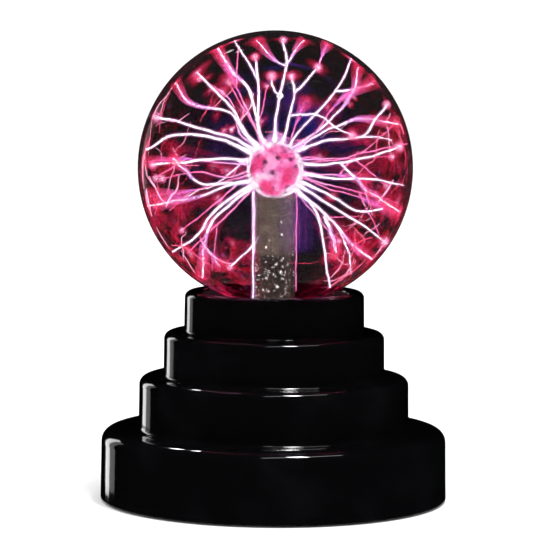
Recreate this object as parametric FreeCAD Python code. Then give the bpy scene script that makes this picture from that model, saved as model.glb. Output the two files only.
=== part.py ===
"""Desk plasma ball: a glass globe with a central electrode on a four-tier glossy base.

Millimetres, +Z up. The origin is the centre of the face that the rubber feet stand on.
The front faces -Y; the power inlet and the slide switch are on the rear wall, at +Y.
Every piece is written as its own STEP file in parts/.
"""
import FreeCAD
import Part
import math
import os

V = FreeCAD.Vector
X_AXIS = V(1, 0, 0)
Y_AXIS = V(0, 1, 0)
Z_AXIS = V(0, 0, 1)

# ---- driving dimensions: base shell -------------------------------------------------------
SHELL_GAP = 0.8                            # shell's lower edge above the table
TIER_RADII = (49.0, 38.3, 31.3, 25.5)      # at the foot of each tier, lowest first
TIER_TOPS = (20.1, 35.0, 47.6, 59.2)       # height of each tier's top face
TIER_ROUNDS = (3.4, 2.4, 2.0, 1.9)         # rounding of each tier's outer top edge
CREASE_ROUND = 1.2                         # hollow rounding where a wall rises from a tier's top
DRAFT_DEG = 0.8                            # taper of the tiers' walls
WALL = 2.0
RIM_WIDTH = 4.2                            # rounded rim round the globe's seat
RIM_INNER_ROUND = 1.4
SEAT_DEPTH = 2.0                           # seat floor below the rim

# ---- globe and electrode ------------------------------------------------------------------
GLOBE_RADIUS = 38.75
GLOBE_WALL = 1.6
GLOBE_LIFT = 3.1                           # glass above the rim's inner crest
NECK_RADIUS = 13.0
NECK_ROUND = 3.0
NECK_BELOW_COLLAR = 1.2
STEM_RADIUS = 5.7
STEM_WALL = 1.1
FLARE_T = 1.5                              # glass disc that closes the neck
FLARE_EDGE_ROUND = 0.5
FLARE_ROUND = 1.6                          # between the disc and the stem
BULB_RADIUS = 8.0
BULB_WALL = 0.9
BULB_ROUND = 1.2                           # where the bulb runs into the stem
BULB_DROP = 0.5                            # bulb's centre below the globe's centre
TIP_RADIUS = 1.7
TIP_LENGTH = 5.0
TIP_SHOULDER = 2.0                         # full-width part of the tip
WOOL_GAP = 0.25                            # between the steel wool and the glass round it
WOOL_FOOT = 6.0                            # wool starts this far above the flare

# ---- globe seat and collar ----------------------------------------------------------------
NECK_CLEARANCE = 1.0                       # shell's neck hole round the neck
GASKET_CLEARANCE = 0.05                    # between the gasket and the glass
GASKET_RIM_GAP = 0.6                       # between the gasket and the rim
GASKET_WIDTH = 6.0
GASKET_EDGE = 1.2                          # height of the gasket's straight outer edge
GASKET_TAPER = 0.5
GASKET_GRIP = 1.2                          # lip's reach out along the glass from the gasket's bore
COLLAR_BORE_GAP = 0.5                      # filled by the sealant
COLLAR_WALL = 3.0
COLLAR_HEIGHT = 6.5
COLLAR_FLANGE_T = 2.0
COLLAR_EDGE_GAP = 1.0                      # between the flange and the shell's wall
COLLAR_BOSS_RADIUS = 2.5
COLLAR_BOSS_LENGTH = 4.0
COLLAR_SCREWS = 3
COLLAR_SCREW_R = 1.0
COLLAR_HEAD_R = 1.9
COLLAR_HEAD_H = 1.3
COLLAR_SCREW_BITE = 2.6                    # thread inside the boss
SEALANT_STEP = 0.6                         # sealant starts this far up the collar

# ---- bottom cover, feet and cover screws --------------------------------------------------
COVER_RECESS = 0.6                         # cover's underside above the shell's lower edge
COVER_T = 2.5
COVER_CLEARANCE = 0.3
FOOT_RADIUS = 4.0
FOOT_RING = 41.0
FOOT_ROUND = 0.4
FOOT_SINK = 0.6                            # foot's depth inside its pocket
FOOT_ANGLES = (0.0, 90.0, 180.0, 270.0)
COVER_SCREW_RING = 41.5
COVER_SCREW_ANGLES = (35.0, 145.0, 215.0, 325.0)
COVER_SCREW_R = 1.25
COVER_SCREW_LENGTH = 10.0
COVER_HEAD_R = 2.4
COVER_HEAD_H = 1.4
HEAD_DEPTH = 0.1                           # screw heads below the cover's underside
BOSS_RADIUS = 3.4
FIT = 0.03                                 # radial gap between a screw and its pilot hole
LOOSE = 0.2                                # radial gap between a screw and a clearance hole
THREAD_ROOM = 1.0                          # pilot hole beyond the screw's point

# ---- battery bay and door -----------------------------------------------------------------
CELL_DIAMETER = 10.5
CELL_LENGTH = 44.5
CELL_COUNT = 4
BAY_SIDE_SLACK = 0.75                      # each side of the row of cells
BAY_END_SLACK = 3.25                       # each end, for contacts and springs
BAY_WALL = 1.5
BAY_HEADROOM = 0.4
BAY_TO_BOARD = 4.5                         # bay's inner rear face to the board's front edge
BAY_RIB_W = 1.0
BAY_RIB_H = 1.5
BAY_RIB_SET_IN = 6.0                       # rib ends to the bay's ends
DOOR_T = 1.6
DOOR_TOP_GAP = 0.1
DOOR_LEDGE = 1.0                           # how far the door covers the bay's edge all round
DOOR_CLEARANCE = 0.3
DOOR_PIN_R = 0.5
DOOR_PIN_LENGTH = 1.4
DOOR_PIN_CLEARANCE = 0.06
DOOR_PIN_END_GAP = 0.2
DOOR_RIB_W = 1.0
DOOR_RIB_H = 0.3
DOOR_RIB_SET_IN = 12.0
LATCH_WIDTH = 9.0
LATCH_HEIGHT = 4.0
LATCH_T = 1.0
LATCH_GAP = 0.45                           # latch to the bay's rear wall
LATCH_SLIT_W = 0.8
LATCH_SLIT_LENGTH = 9.0
SCOOP_RADIUS = 5.0                         # finger scoop at the door's rear edge
SCOOP_DEPTH = 0.9
SCOOP_SET_BACK = 1.2
GRIP_GROOVES = 4
GRIP_PITCH = 1.6
GRIP_GROOVE_W = 0.7
GRIP_GROOVE_DEPTH = 0.4
GRIP_HALF_WIDTH = 4.0
CONTACT_T = 0.4
CONTACT_HALF = 3.8                         # half height of a contact plate
CONTACT_TAIL_W = 2.0
CONTACT_TAIL_UP = 1.5                      # tail above the bay's roof
CONTACT_SLOT_T = 1.0
CONTACT_SLOT_W = 3.0
SPRING_WIRE_R = 0.3
SPRING_COILS = 4
SPRING_FOOT_R = 3.0
SPRING_TIP_R = 1.9
SPRING_LENGTH = 5.4

# ---- rear panel, inlet and switch ---------------------------------------------------------
PANEL_SINK = 3.5                           # flat panel's face inside the lowest tier's foot
PANEL_T = 2.0
PANEL_HALF_WIDTH = 17.0
PANEL_HEIGHT = 9.2
PANEL_CORNER = 2.0
PANEL_GAP = 0.1                            # between the panel and what stands behind it
JACK_X = -8.5
JACK_SIZE = (7.5, 11.0, 6.8)               # width, depth, height
JACK_NOSE_R = 2.9
JACK_NOSE_LENGTH = 1.8
JACK_BORE_R = 2.1
JACK_BORE_DEPTH = 9.0
JACK_ENTRY = 0.4
JACK_PIN_R = 0.65
JACK_PIN_ROOT_R = 0.95                     # thicker root in the housing's back wall
JACK_PIN_LENGTH = 7.6
JACK_PIN_ROUND = 0.25
JACK_TAIL_HALF_W = 0.9
TERMINAL_T = 0.5
SWITCH_X = 8.5
SWITCH_SIZE = (13.2, 6.5, 6.8)             # width, depth, height
SWITCH_SKIN = 0.5
SWITCH_TRAVEL = 4.0
SWITCH_BASE_T = 1.6
SWITCH_PITCH = 3.5                         # between terminals
KNOB_SIZE = (4.4, 3.6)                     # width, height of the part that a finger moves
KNOB_PROUD = 2.1                           # beyond the panel's face
KNOB_GAP = 0.4                             # between the knob and its slot
KNOB_ROUND = 0.4
KNOB_GROOVE = 0.5
KNOB_GROOVE_DEPTH = 0.35
KNOB_GROOVE_PITCH = 1.2
CARRIAGE_WIDTH = 7.0
CARRIAGE_DEPTH = 3.0
CARRIAGE_GAP = 0.25
CARRIAGE_FRONT_GAP = 0.1

# ---- circuit board and what it carries ----------------------------------------------------
BOARD_LIFT = 1.2                           # board above the cover
BOARD_T = 1.6
BOARD_HALF_WIDTH = 27.0
BOARD_FRONT_Y = 15.5
BOARD_TO_PANEL = 2.0
BOARD_CHAMFER = 8.0
BOARD_HOLES = ((-23.5, 18.8), (23.5, 18.8), (-16.5, 38.0))
BOARD_POST_R = 2.4
BOARD_SCREW_R = 0.95
BOARD_HEAD_R = 1.9
BOARD_HEAD_H = 1.1
BOARD_PILOT_IN_COVER = 1.2
CEILING_GAP = 0.5                          # tall parts to the shell above them
CORE_SIZE = (19.0, 5.5, 16.0)              # ferrite core: width, depth, height
CORE_LEG = 4.0
CORE_LIFT = 1.0
CORE_CENTRE = (0.0, 23.0)
BOBBIN_WALL = 0.8
BOBBIN_FLANGE_OVER = 0.5                   # flange beyond the coil
BOBBIN_CORNER_ROOM = 0.6
PRIMARY_R = 5.6
PRIMARY_SHARE = 0.3                        # part of the bobbin's height
WINDING_GAP = 0.3
HV_COIL_R = 7.2
COIL_GAP = 0.2                             # bobbin to core
HEAT_SINK_WIDTH = 13.0
HEAT_SINK_DEPTH = 9.0
HEAT_SINK_CENTRE = (18.5, 26.5)
HEAT_SINK_FINS = 5
HEAT_SINK_FIN_T = 1.2
HEAT_SINK_WEB = 2.0
TRANSISTOR_WIDTH = 8.0
TRANSISTOR_TAB_T = 0.9
TRANSISTOR_BODY_T = 2.4
TRANSISTOR_LIFT = 2.4                      # body above the board
TRANSISTOR_LEG_PITCH = 2.3
TRANSISTOR_LEG_W = 0.8
TRANSISTOR_HOLE_R = 1.6
TRANSISTOR_HOLE_DOWN = 2.6                 # hole below the tab's top
SINK_SCREW_R = 1.25
SINK_HEAD_R = 2.2
SINK_HEAD_H = 1.4
CAPACITORS = ((-16.5, 21.5, 4.0, 10.5), (-20.0, 30.5, 3.15, 9.0))   # x, y, radius, height
CAPACITOR_ROUND = 0.5
CAPACITOR_GROOVE_Z = 1.6
CAPACITOR_GROOVE_H = 0.7
CAPACITOR_GROOVE_DEPTH = 0.3
FILM_CAPACITOR = (7.2, 3.5, 8.0)           # width, depth, height
FILM_CAPACITOR_AT = (-12.6, 28.4)
FILM_CAPACITOR_LIFT = 0.6
FILM_CAPACITOR_ROUND = 0.7
FILM_CAPACITOR_LEGS = 5.0
RESISTOR_RADIUS = 1.15
RESISTOR_WAIST_R = 0.95
RESISTOR_CAP = 1.5
RESISTOR_LENGTH = 6.2
RESISTOR_LEGS = 10.0
RESISTOR_LIFT = 0.3
RESISTORS_AT = ((4.2, 32.2), (4.2, 34.8), (15.4, 18.3))
LEG_WIRE_R = 0.3

# ---- wires --------------------------------------------------------------------------------
HV_LEAD_R = 0.9
HV_LEAD_TO_FLANGE = 0.7                    # lead below the bobbin's upper flange
HV_LEAD_RUN = 3.4
HV_LEAD_SWAY = 1.4
HV_LEAD_IN_WOOL = 3.5
HV_LEAD_BELOW_FLARE = 4.5
WOOL_SOCKET = 5.0
BATTERY_LEAD_R = 0.65
LEAD_OVER_ROOF = 0.4
LEAD_FIRST_RUN = 4.0
LEAD_ENDS = ((-9.6, 18.2), (-18.5, 16.3))  # red and black lead on the board
LEAD_LANES = (-14.0, -17.0)                # x of each lead across the bay's roof
LEAD_SIDE_STEP = 2.0
HV_LEAD_BENDS = ((0.75, 0.3), (0.4, 0.65)) # at each bend: share of the run in, share of the climb
BEND_SHARE = 0.45                          # part of the shorter run that a bend may use

# ---- shared small sizes -------------------------------------------------------------------
CUT_OVER = 1.0                             # how far a cutter runs past a face
SAME = 1e-6
HEAD_ROUND_H = 0.35
HEAD_ROUND_R = 0.25
RECESS_WIDTH = 1.3                         # cross slot's width over the head's radius
RECESS_DEPTH = 0.55                        # cross slot's depth over the head's height
RECESS_BLADE = 0.25                        # blade's thickness over its width
POINT_RATIO = 0.3

# ---- values worked out from the ones above ------------------------------------------------
SLOPE = math.tan(math.radians(DRAFT_DEG))
COVER_BOTTOM = SHELL_GAP + COVER_RECESS
COVER_TOP = COVER_BOTTOM + COVER_T
COVER_RADIUS = TIER_RADII[0] - WALL - COVER_CLEARANCE
RIM_Z = TIER_TOPS[3]
SEAT_Z = RIM_Z - SEAT_DEPTH
SEAT_UNDER = SEAT_Z - WALL
RIM_OUTER_R = TIER_RADII[3] - SLOPE * (TIER_TOPS[3] - TIER_TOPS[2])
RIM_INNER_R = RIM_OUTER_R - RIM_WIDTH
RIM_CREST_R = RIM_INNER_R + RIM_INNER_ROUND
GLOBE_CENTRE_Z = RIM_Z + GLOBE_LIFT + math.sqrt(GLOBE_RADIUS**2 - RIM_CREST_R**2)
BULB_Z = GLOBE_CENTRE_Z - BULB_DROP
COLLAR_BORE_R = NECK_RADIUS + COLLAR_BORE_GAP
COLLAR_OUTER_R = COLLAR_BORE_R + COLLAR_WALL
COLLAR_RING = (COLLAR_OUTER_R + TIER_RADII[3] - WALL) / 2
COLLAR_TOP = SEAT_UNDER - COLLAR_BOSS_LENGTH
COLLAR_BOTTOM = COLLAR_TOP - COLLAR_HEIGHT
NECK_END_Z = COLLAR_BOTTOM - NECK_BELOW_COLLAR
FLARE_BOTTOM = NECK_END_Z - FLARE_T
WOOL_BOTTOM = NECK_END_Z + WOOL_FOOT
BOARD_BOTTOM = COVER_TOP + BOARD_LIFT
BOARD_TOP = BOARD_BOTTOM + BOARD_T
PANEL_Y = TIER_RADII[0] - PANEL_SINK
PANEL_BACK_Y = PANEL_Y - PANEL_T
PANEL_MID_Z = BOARD_TOP + JACK_SIZE[2] / 2
FITTING_FRONT_Y = PANEL_BACK_Y - PANEL_GAP
BOARD_REAR_Y = PANEL_BACK_Y - BOARD_TO_PANEL
BAY_HALF_X = CELL_LENGTH / 2 + BAY_END_SLACK
BAY_REAR_Y = BOARD_FRONT_Y - BAY_TO_BOARD
BAY_FRONT_Y = BAY_REAR_Y - CELL_COUNT * CELL_DIAMETER - 2 * BAY_SIDE_SLACK
DOOR_TOP = COVER_BOTTOM + DOOR_T
RECESS_TOP = DOOR_TOP + DOOR_TOP_GAP
BAY_CEILING = RECESS_TOP + CELL_DIAMETER + BAY_HEADROOM
BAY_ROOF = BAY_CEILING + BAY_WALL
DOOR_AXIS_Y = BAY_FRONT_Y - DOOR_LEDGE + DOOR_T / 2
DOOR_AXIS_Z = COVER_BOTTOM + DOOR_T / 2
CONTACT_Z = RECESS_TOP + CELL_DIAMETER / 2
SINK_HEIGHT = TIER_TOPS[0] - WALL - CEILING_GAP - BOARD_TOP
SINK_REAR_Y = HEAT_SINK_CENTRE[1] + HEAT_SINK_DEPTH / 2
SINK_HOLE_Z = BOARD_TOP + SINK_HEIGHT - TRANSISTOR_HOLE_DOWN
CORE_BOTTOM = BOARD_TOP + CORE_LIFT
CORE_TOP = CORE_BOTTOM + CORE_SIZE[2]
BOBBIN_BOTTOM = CORE_BOTTOM + CORE_LEG / 2 + COIL_GAP
BOBBIN_TOP = CORE_TOP - CORE_LEG / 2 - COIL_GAP
WINDING_BOTTOM = BOBBIN_BOTTOM + BOBBIN_WALL
WINDING_TOP = BOBBIN_TOP - BOBBIN_WALL
WINDING_SPLIT = WINDING_BOTTOM + PRIMARY_SHARE * (WINDING_TOP - WINDING_BOTTOM)
BOBBIN_BODY_R = CORE_SIZE[1] / 2 + COIL_GAP + BOBBIN_WALL + BOBBIN_CORNER_ROOM
SLOT_HALF = (KNOB_SIZE[0] + SWITCH_TRAVEL) / 2 + KNOB_GAP
SLOT_HALF_HEIGHT = KNOB_SIZE[1] / 2 + KNOB_GAP


# ---- general helpers ----------------------------------------------------------------------
def box(x0, x1, y0, y1, z0, z1):
    return Part.makeBox(x1 - x0, y1 - y0, z1 - z0, V(x0, y0, z0))


def rod(radius, start, length, axis=Z_AXIS):
    return Part.makeCylinder(radius, length, V(*start), axis)


def tube(outer, inner, z0, z1, centre=(0.0, 0.0)):
    start = (centre[0], centre[1], z0)
    return rod(outer, start, z1 - z0).cut(rod(inner, start, z1 - z0))


def joined(shapes):
    """One solid from shapes that touch or overlap."""
    whole = shapes[0]
    if len(shapes) > 1:
        whole = whole.fuse(shapes[1:])
    return whole.removeSplitter()


def ring_points(radius, angles):
    return [(radius * math.cos(math.radians(a)), radius * math.sin(math.radians(a))) for a in angles]


def circle_edge_at(shape, measure, value):
    """The one round edge whose centre has this value along the given coordinate."""
    found = [
        e
        for e in shape.Edges
        if len(e.Vertexes) == 1 and abs(getattr(e.CenterOfMass, measure) - value) < SAME
    ]
    return found[:1]


def rounded_wire(corners):
    """A closed wire in the XZ plane from (x, z, rounding) corners, with arcs at the rounded ones."""
    count = len(corners)
    entries = []
    for i, (x, z, rounding) in enumerate(corners):
        here = V(x, 0, z)
        if rounding == 0:
            entries.append((here, None, here))
            continue
        before = corners[i - 1]
        after = corners[(i + 1) % count]
        to_before = (V(before[0], 0, before[1]) - here).normalize()
        to_after = (V(after[0], 0, after[1]) - here).normalize()
        half = to_before.getAngle(to_after) / 2
        reach = rounding / math.tan(half)
        inward = (to_before + to_after).normalize()
        middle = here + inward * (rounding / math.sin(half) - rounding)
        entries.append((here + to_before * reach, middle, here + to_after * reach))
    edges = []
    for i, (start, middle, end) in enumerate(entries):
        if middle is not None:
            edges.append(Part.Arc(start, middle, end).toShape())
        following = entries[(i + 1) % count][0]
        if end.distanceToPoint(following) > SAME:
            edges.append(Part.LineSegment(end, following).toShape())
    return Part.Wire(edges)


def turned(corners):
    """The solid that a profile of (radius, z, rounding) corners sweeps round the Z axis."""
    face = Part.Face(rounded_wire(corners))
    return face.revolve(V(0, 0, 0), Z_AXIS, 360)


def bent_rod(points, radius):
    """A round rod through points, with each bend as wide as its two runs allow."""
    path = [V(*p) for p in points]
    starts = [path[0]]
    edges = []
    for before, here, after in zip(path, path[1:], path[2:]):
        to_before = (before - here).normalize()
        to_after = (after - here).normalize()
        reach = BEND_SHARE * min(before.distanceToPoint(here), here.distanceToPoint(after))
        half = to_before.getAngle(to_after) / 2
        bend = reach * math.tan(half)
        inward = (to_before + to_after).normalize()
        middle = here + inward * (bend / math.sin(half) - bend)
        first = here + to_before * reach
        last = here + to_after * reach
        edges.append(Part.LineSegment(starts[-1], first).toShape())
        edges.append(Part.Arc(first, middle, last).toShape())
        starts.append(last)
    edges.append(Part.LineSegment(starts[-1], path[-1]).toShape())
    spine = Part.Wire(edges)
    circle = Part.Wire([Part.Circle(path[0], path[1] - path[0], radius).toShape()])
    return spine.makePipeShell([circle], True, True)


def screw(shank_length, radius, head_r, head_h):
    """A pan-head, cross-slot screw whose head's outer face is at the origin, pointing up +Z."""
    head = rod(head_r, (0, 0, 0), head_h)
    head = head.makeFillet(min(HEAD_ROUND_H * head_h, HEAD_ROUND_R * head_r), circle_edge_at(head, "z", 0.0))
    shank = rod(radius, (0, 0, head_h), shank_length)
    point = Part.makeCone(radius, POINT_RATIO * radius, radius, V(0, 0, head_h + shank_length))
    body = joined([head, shank, point])
    half = RECESS_WIDTH * head_r / 2
    blade = half * RECESS_BLADE
    deep = RECESS_DEPTH * head_h
    slots = box(-half, half, -blade, blade, -deep, deep).fuse(box(-blade, blade, -half, half, -deep, deep))
    return body.cut(slots)


def placed(shape, at, direction=Z_AXIS):
    shape.Placement = FreeCAD.Placement(V(*at), FreeCAD.Rotation(Z_AXIS, direction))
    return shape


# ---- base shell ---------------------------------------------------------------------------
def tier_outline(inset, crease=0.0):
    """Outer side of the four tiers, taken in by inset, from the foot up to the last tier's top."""
    corners = []
    floor = SHELL_GAP
    for tier, (radius, top, rounding) in enumerate(zip(TIER_RADII, TIER_TOPS, TIER_ROUNDS)):
        height = top - inset
        corners.append((radius - inset, floor, crease if tier else 0))
        corners.append((radius - inset - SLOPE * (height - floor), height, max(rounding - inset, 0)))
        floor = height
    return corners


def base_shell():
    outside = turned(
        [(0, SHELL_GAP, 0)]
        + tier_outline(0.0, CREASE_ROUND)
        + [(RIM_INNER_R, RIM_Z, RIM_INNER_ROUND), (RIM_INNER_R, SEAT_Z, 0), (0, SEAT_Z, 0)]
    )
    inner = tier_outline(WALL)
    inside = turned([(0, SHELL_GAP, 0)] + inner[:-1] + [(inner[-1][0], SEAT_UNDER, 0), (0, SEAT_UNDER, 0)])
    shell = joined([outside.cut(inside)] + cover_bosses() + collar_bosses() + [rear_panel()])
    for cutter in shell_cutters():
        shell = shell.cut(cutter)
    return shell


def cover_bosses():
    ceiling = TIER_TOPS[0] - WALL / 2
    return [
        rod(BOSS_RADIUS, (x, y, COVER_TOP), ceiling - COVER_TOP)
        for x, y in ring_points(COVER_SCREW_RING, COVER_SCREW_ANGLES)
    ]


def collar_angles():
    return [90.0 + 360.0 / COLLAR_SCREWS * (i + 0.5) for i in range(COLLAR_SCREWS)]


def collar_bosses():
    return [
        rod(COLLAR_BOSS_RADIUS, (x, y, COLLAR_TOP), SEAT_UNDER - COLLAR_TOP + WALL / 2)
        for x, y in ring_points(COLLAR_RING, collar_angles())
    ]


def rear_panel():
    """The thick flat wall behind the sunk panel, kept inside the round wall and above the cover."""
    half_width = PANEL_HALF_WIDTH + WALL
    block = box(
        -half_width,
        half_width,
        PANEL_BACK_Y,
        TIER_RADII[0],
        COVER_TOP + COVER_CLEARANCE,
        PANEL_MID_Z + PANEL_HEIGHT / 2 + WALL,
    )
    height = TIER_TOPS[0] - SHELL_GAP
    mid_wall_r = TIER_RADII[0] - WALL / 2
    envelope = Part.makeCone(mid_wall_r, mid_wall_r - SLOPE * height, height, V(0, 0, SHELL_GAP))
    return block.common(envelope)


def shell_cutters():
    pocket = box(
        -PANEL_HALF_WIDTH,
        PANEL_HALF_WIDTH,
        PANEL_Y,
        TIER_RADII[0] + CUT_OVER,
        PANEL_MID_Z - PANEL_HEIGHT / 2,
        PANEL_MID_Z + PANEL_HEIGHT / 2,
    )
    corner_edges = [e for e in pocket.Edges if abs(e.tangentAt(e.FirstParameter).y) > 1 - SAME]
    pocket = pocket.makeFillet(PANEL_CORNER, corner_edges)
    through = PANEL_T + 2 * CUT_OVER
    jack_hole = rod(JACK_NOSE_R + PANEL_GAP, (JACK_X, PANEL_BACK_Y - CUT_OVER, PANEL_MID_Z), through, Y_AXIS)
    slot = box(
        SWITCH_X - SLOT_HALF,
        SWITCH_X + SLOT_HALF,
        PANEL_BACK_Y - CUT_OVER,
        PANEL_Y + CUT_OVER,
        PANEL_MID_Z - SLOT_HALF_HEIGHT,
        PANEL_MID_Z + SLOT_HALF_HEIGHT,
    )
    neck_hole = rod(NECK_RADIUS + NECK_CLEARANCE, (0, 0, SEAT_UNDER - CUT_OVER), WALL + 2 * CUT_OVER)
    cover_bite = COVER_SCREW_LENGTH - COVER_T + COVER_HEAD_H + COVER_SCREW_R
    pilots = [
        rod(COVER_SCREW_R + FIT, (x, y, COVER_TOP - CUT_OVER), CUT_OVER + cover_bite + THREAD_ROOM)
        for x, y in ring_points(COVER_SCREW_RING, COVER_SCREW_ANGLES)
    ]
    collar_bite = COLLAR_SCREW_BITE + COLLAR_SCREW_R
    collar_pilots = [
        rod(COLLAR_SCREW_R + FIT, (x, y, COLLAR_TOP - CUT_OVER), CUT_OVER + collar_bite + THREAD_ROOM)
        for x, y in ring_points(COLLAR_RING, collar_angles())
    ]
    return [pocket, jack_hole, slot, neck_hole] + pilots + collar_pilots


# ---- globe, stem and electrode ------------------------------------------------------------
def neck_blend(sphere_r, neck_r, rounding):
    """Start, middle and end of the arc that joins a ball, centred on the origin, to a neck below it."""
    centre_r = neck_r + rounding
    drop = math.sqrt((sphere_r + rounding) ** 2 - centre_r**2)
    centre = V(centre_r, 0, -drop)
    start = centre * (sphere_r / (sphere_r + rounding))
    end = V(neck_r, 0, -drop)
    way = ((start - centre).normalize() + (end - centre).normalize()).normalize()
    return start, centre + way * rounding, end


def ball_on_neck(centre_z, sphere_r, neck_r, rounding, end_z):
    """A solid ball that runs smoothly into a solid neck down to end_z."""
    start, middle, end = neck_blend(sphere_r, neck_r, rounding)
    up = V(0, 0, centre_z)
    top = V(0, 0, centre_z + sphere_r)
    side_angle = (math.pi / 2 + math.atan2(start.z, start.x)) / 2
    side = V(sphere_r * math.cos(side_angle), 0, sphere_r * math.sin(side_angle))
    corner = V(neck_r, 0, end_z)
    foot = V(0, 0, end_z)
    edges = [
        Part.LineSegment(foot, corner).toShape(),
        Part.LineSegment(corner, end + up).toShape(),
        Part.Arc(end + up, middle + up, start + up).toShape(),
        Part.Arc(start + up, side + up, top).toShape(),
        Part.LineSegment(top, foot).toShape(),
    ]
    return Part.Face(Part.Wire(edges)).revolve(V(0, 0, 0), Z_AXIS, 360)


def globe():
    outside = ball_on_neck(GLOBE_CENTRE_Z, GLOBE_RADIUS, NECK_RADIUS, NECK_ROUND, NECK_END_Z)
    inside = ball_on_neck(
        GLOBE_CENTRE_Z,
        GLOBE_RADIUS - GLOBE_WALL,
        NECK_RADIUS - GLOBE_WALL,
        NECK_ROUND + GLOBE_WALL,
        NECK_END_Z,
    )
    return outside.cut(inside)


def glass_stem():
    """Tube with the electrode's bulb on top and a flare that closes the globe's neck."""
    outside = ball_on_neck(BULB_Z, BULB_RADIUS, STEM_RADIUS, BULB_ROUND, FLARE_BOTTOM)
    blend_top = NECK_END_Z + 2 * FLARE_ROUND
    flare = turned(
        [
            (0, FLARE_BOTTOM, 0),
            (NECK_RADIUS, FLARE_BOTTOM, FLARE_EDGE_ROUND),
            (NECK_RADIUS, NECK_END_Z, 0),
            (STEM_RADIUS, NECK_END_Z, FLARE_ROUND),
            (STEM_RADIUS, blend_top, 0),
            (0, blend_top, 0),
        ]
    )
    inside = ball_on_neck(
        BULB_Z,
        BULB_RADIUS - BULB_WALL,
        STEM_RADIUS - STEM_WALL,
        BULB_ROUND + BULB_WALL,
        FLARE_BOTTOM,
    )
    return joined([outside, flare]).cut(inside)


def exhaust_tip():
    """The nipple left where the globe was pumped out and sealed."""
    end_r = TIP_RADIUS * 0.7
    end_z = FLARE_BOTTOM - TIP_LENGTH
    tip = turned(
        [
            (0, end_z, 0),
            (end_r, end_z, end_r / 2),
            (TIP_RADIUS, FLARE_BOTTOM - TIP_SHOULDER, 0),
            (TIP_RADIUS, FLARE_BOTTOM, 0),
            (0, FLARE_BOTTOM, 0),
        ]
    )
    tip.translate(V(0, -(STEM_RADIUS + NECK_RADIUS) / 2, 0))
    return tip


def steel_wool_core():
    core = ball_on_neck(
        BULB_Z,
        BULB_RADIUS - BULB_WALL - WOOL_GAP,
        STEM_RADIUS - STEM_WALL - WOOL_GAP,
        BULB_ROUND + BULB_WALL,
        WOOL_BOTTOM,
    )
    return core.cut(rod(HV_LEAD_R + FIT, (0, 0, WOOL_BOTTOM - CUT_OVER), CUT_OVER + WOOL_SOCKET))


def globe_gasket():
    outer = RIM_INNER_R - GASKET_RIM_GAP
    inner = max(outer - GASKET_WIDTH, NECK_RADIUS + NECK_ROUND / 2)
    edge_top = SEAT_Z + GASKET_EDGE
    lip_top = GLOBE_CENTRE_Z - math.sqrt(GLOBE_RADIUS**2 - (inner + GASKET_GRIP) ** 2)
    rise = lip_top - edge_top
    skirt = Part.makeCone(outer, outer - GASKET_TAPER, rise, V(0, 0, edge_top))
    block = joined([rod(outer, (0, 0, SEAT_Z), GASKET_EDGE), skirt])
    hole_height = GASKET_EDGE + rise + 2 * CUT_OVER
    ring = block.cut(rod(inner, (0, 0, SEAT_Z - CUT_OVER), hole_height))
    glass_room = ball_on_neck(
        GLOBE_CENTRE_Z,
        GLOBE_RADIUS + GASKET_CLEARANCE,
        NECK_RADIUS + GASKET_CLEARANCE,
        NECK_ROUND - GASKET_CLEARANCE,
        NECK_END_Z,
    )
    return ring.cut(glass_room)


def neck_collar():
    flange_r = TIER_RADII[3] - WALL - COLLAR_EDGE_GAP
    body = tube(COLLAR_OUTER_R, COLLAR_BORE_R, COLLAR_BOTTOM, COLLAR_TOP)
    flange = tube(flange_r, COLLAR_BORE_R, COLLAR_TOP - COLLAR_FLANGE_T, COLLAR_TOP)
    collar = joined([body, flange])
    deep = COLLAR_FLANGE_T + 2 * CUT_OVER
    flange_z = COLLAR_TOP - COLLAR_FLANGE_T
    for x, y in ring_points(COLLAR_RING, collar_angles()):
        collar = collar.cut(rod(COLLAR_SCREW_R + LOOSE, (x, y, flange_z - CUT_OVER), deep))
        head_z = COLLAR_BOTTOM - CUT_OVER
        head_room = rod(COLLAR_HEAD_R + LOOSE, (x, y, head_z), flange_z - head_z)
        collar = collar.cut(head_room)
    return collar


def neck_sealant():
    return tube(COLLAR_BORE_R, NECK_RADIUS, COLLAR_BOTTOM + SEALANT_STEP, COLLAR_TOP - SEALANT_STEP)


def collar_screws():
    face_z = COLLAR_TOP - COLLAR_FLANGE_T - COLLAR_HEAD_H
    shank = COLLAR_FLANGE_T + COLLAR_SCREW_BITE
    return Part.makeCompound(
        [
            placed(screw(shank, COLLAR_SCREW_R, COLLAR_HEAD_R, COLLAR_HEAD_H), (x, y, face_z))
            for x, y in ring_points(COLLAR_RING, collar_angles())
        ]
    )


# ---- bottom cover with its battery bay ----------------------------------------------------
def bottom_cover():
    plate = rod(COVER_RADIUS, (0, 0, COVER_BOTTOM), COVER_T)
    bay = box(
        -BAY_HALF_X - BAY_WALL,
        BAY_HALF_X + BAY_WALL,
        BAY_FRONT_Y - BAY_WALL,
        BAY_REAR_Y + BAY_WALL,
        COVER_TOP,
        BAY_ROOF,
    )
    posts = [rod(BOARD_POST_R, (x, y, COVER_TOP), BOARD_LIFT) for x, y in BOARD_HOLES]
    cover = joined([plate, bay] + posts)
    hollow = box(-BAY_HALF_X, BAY_HALF_X, BAY_FRONT_Y, BAY_REAR_Y, COVER_BOTTOM - CUT_OVER, BAY_CEILING)
    cover = cover.cut(hollow)
    cover = joined([cover] + bay_ribs())
    for cutter in cover_cutters():
        cover = cover.cut(cutter)
    return cover


def contact_rows():
    first = BAY_FRONT_Y + BAY_SIDE_SLACK + CELL_DIAMETER / 2
    return [first + i * CELL_DIAMETER for i in range(CELL_COUNT)]


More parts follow.
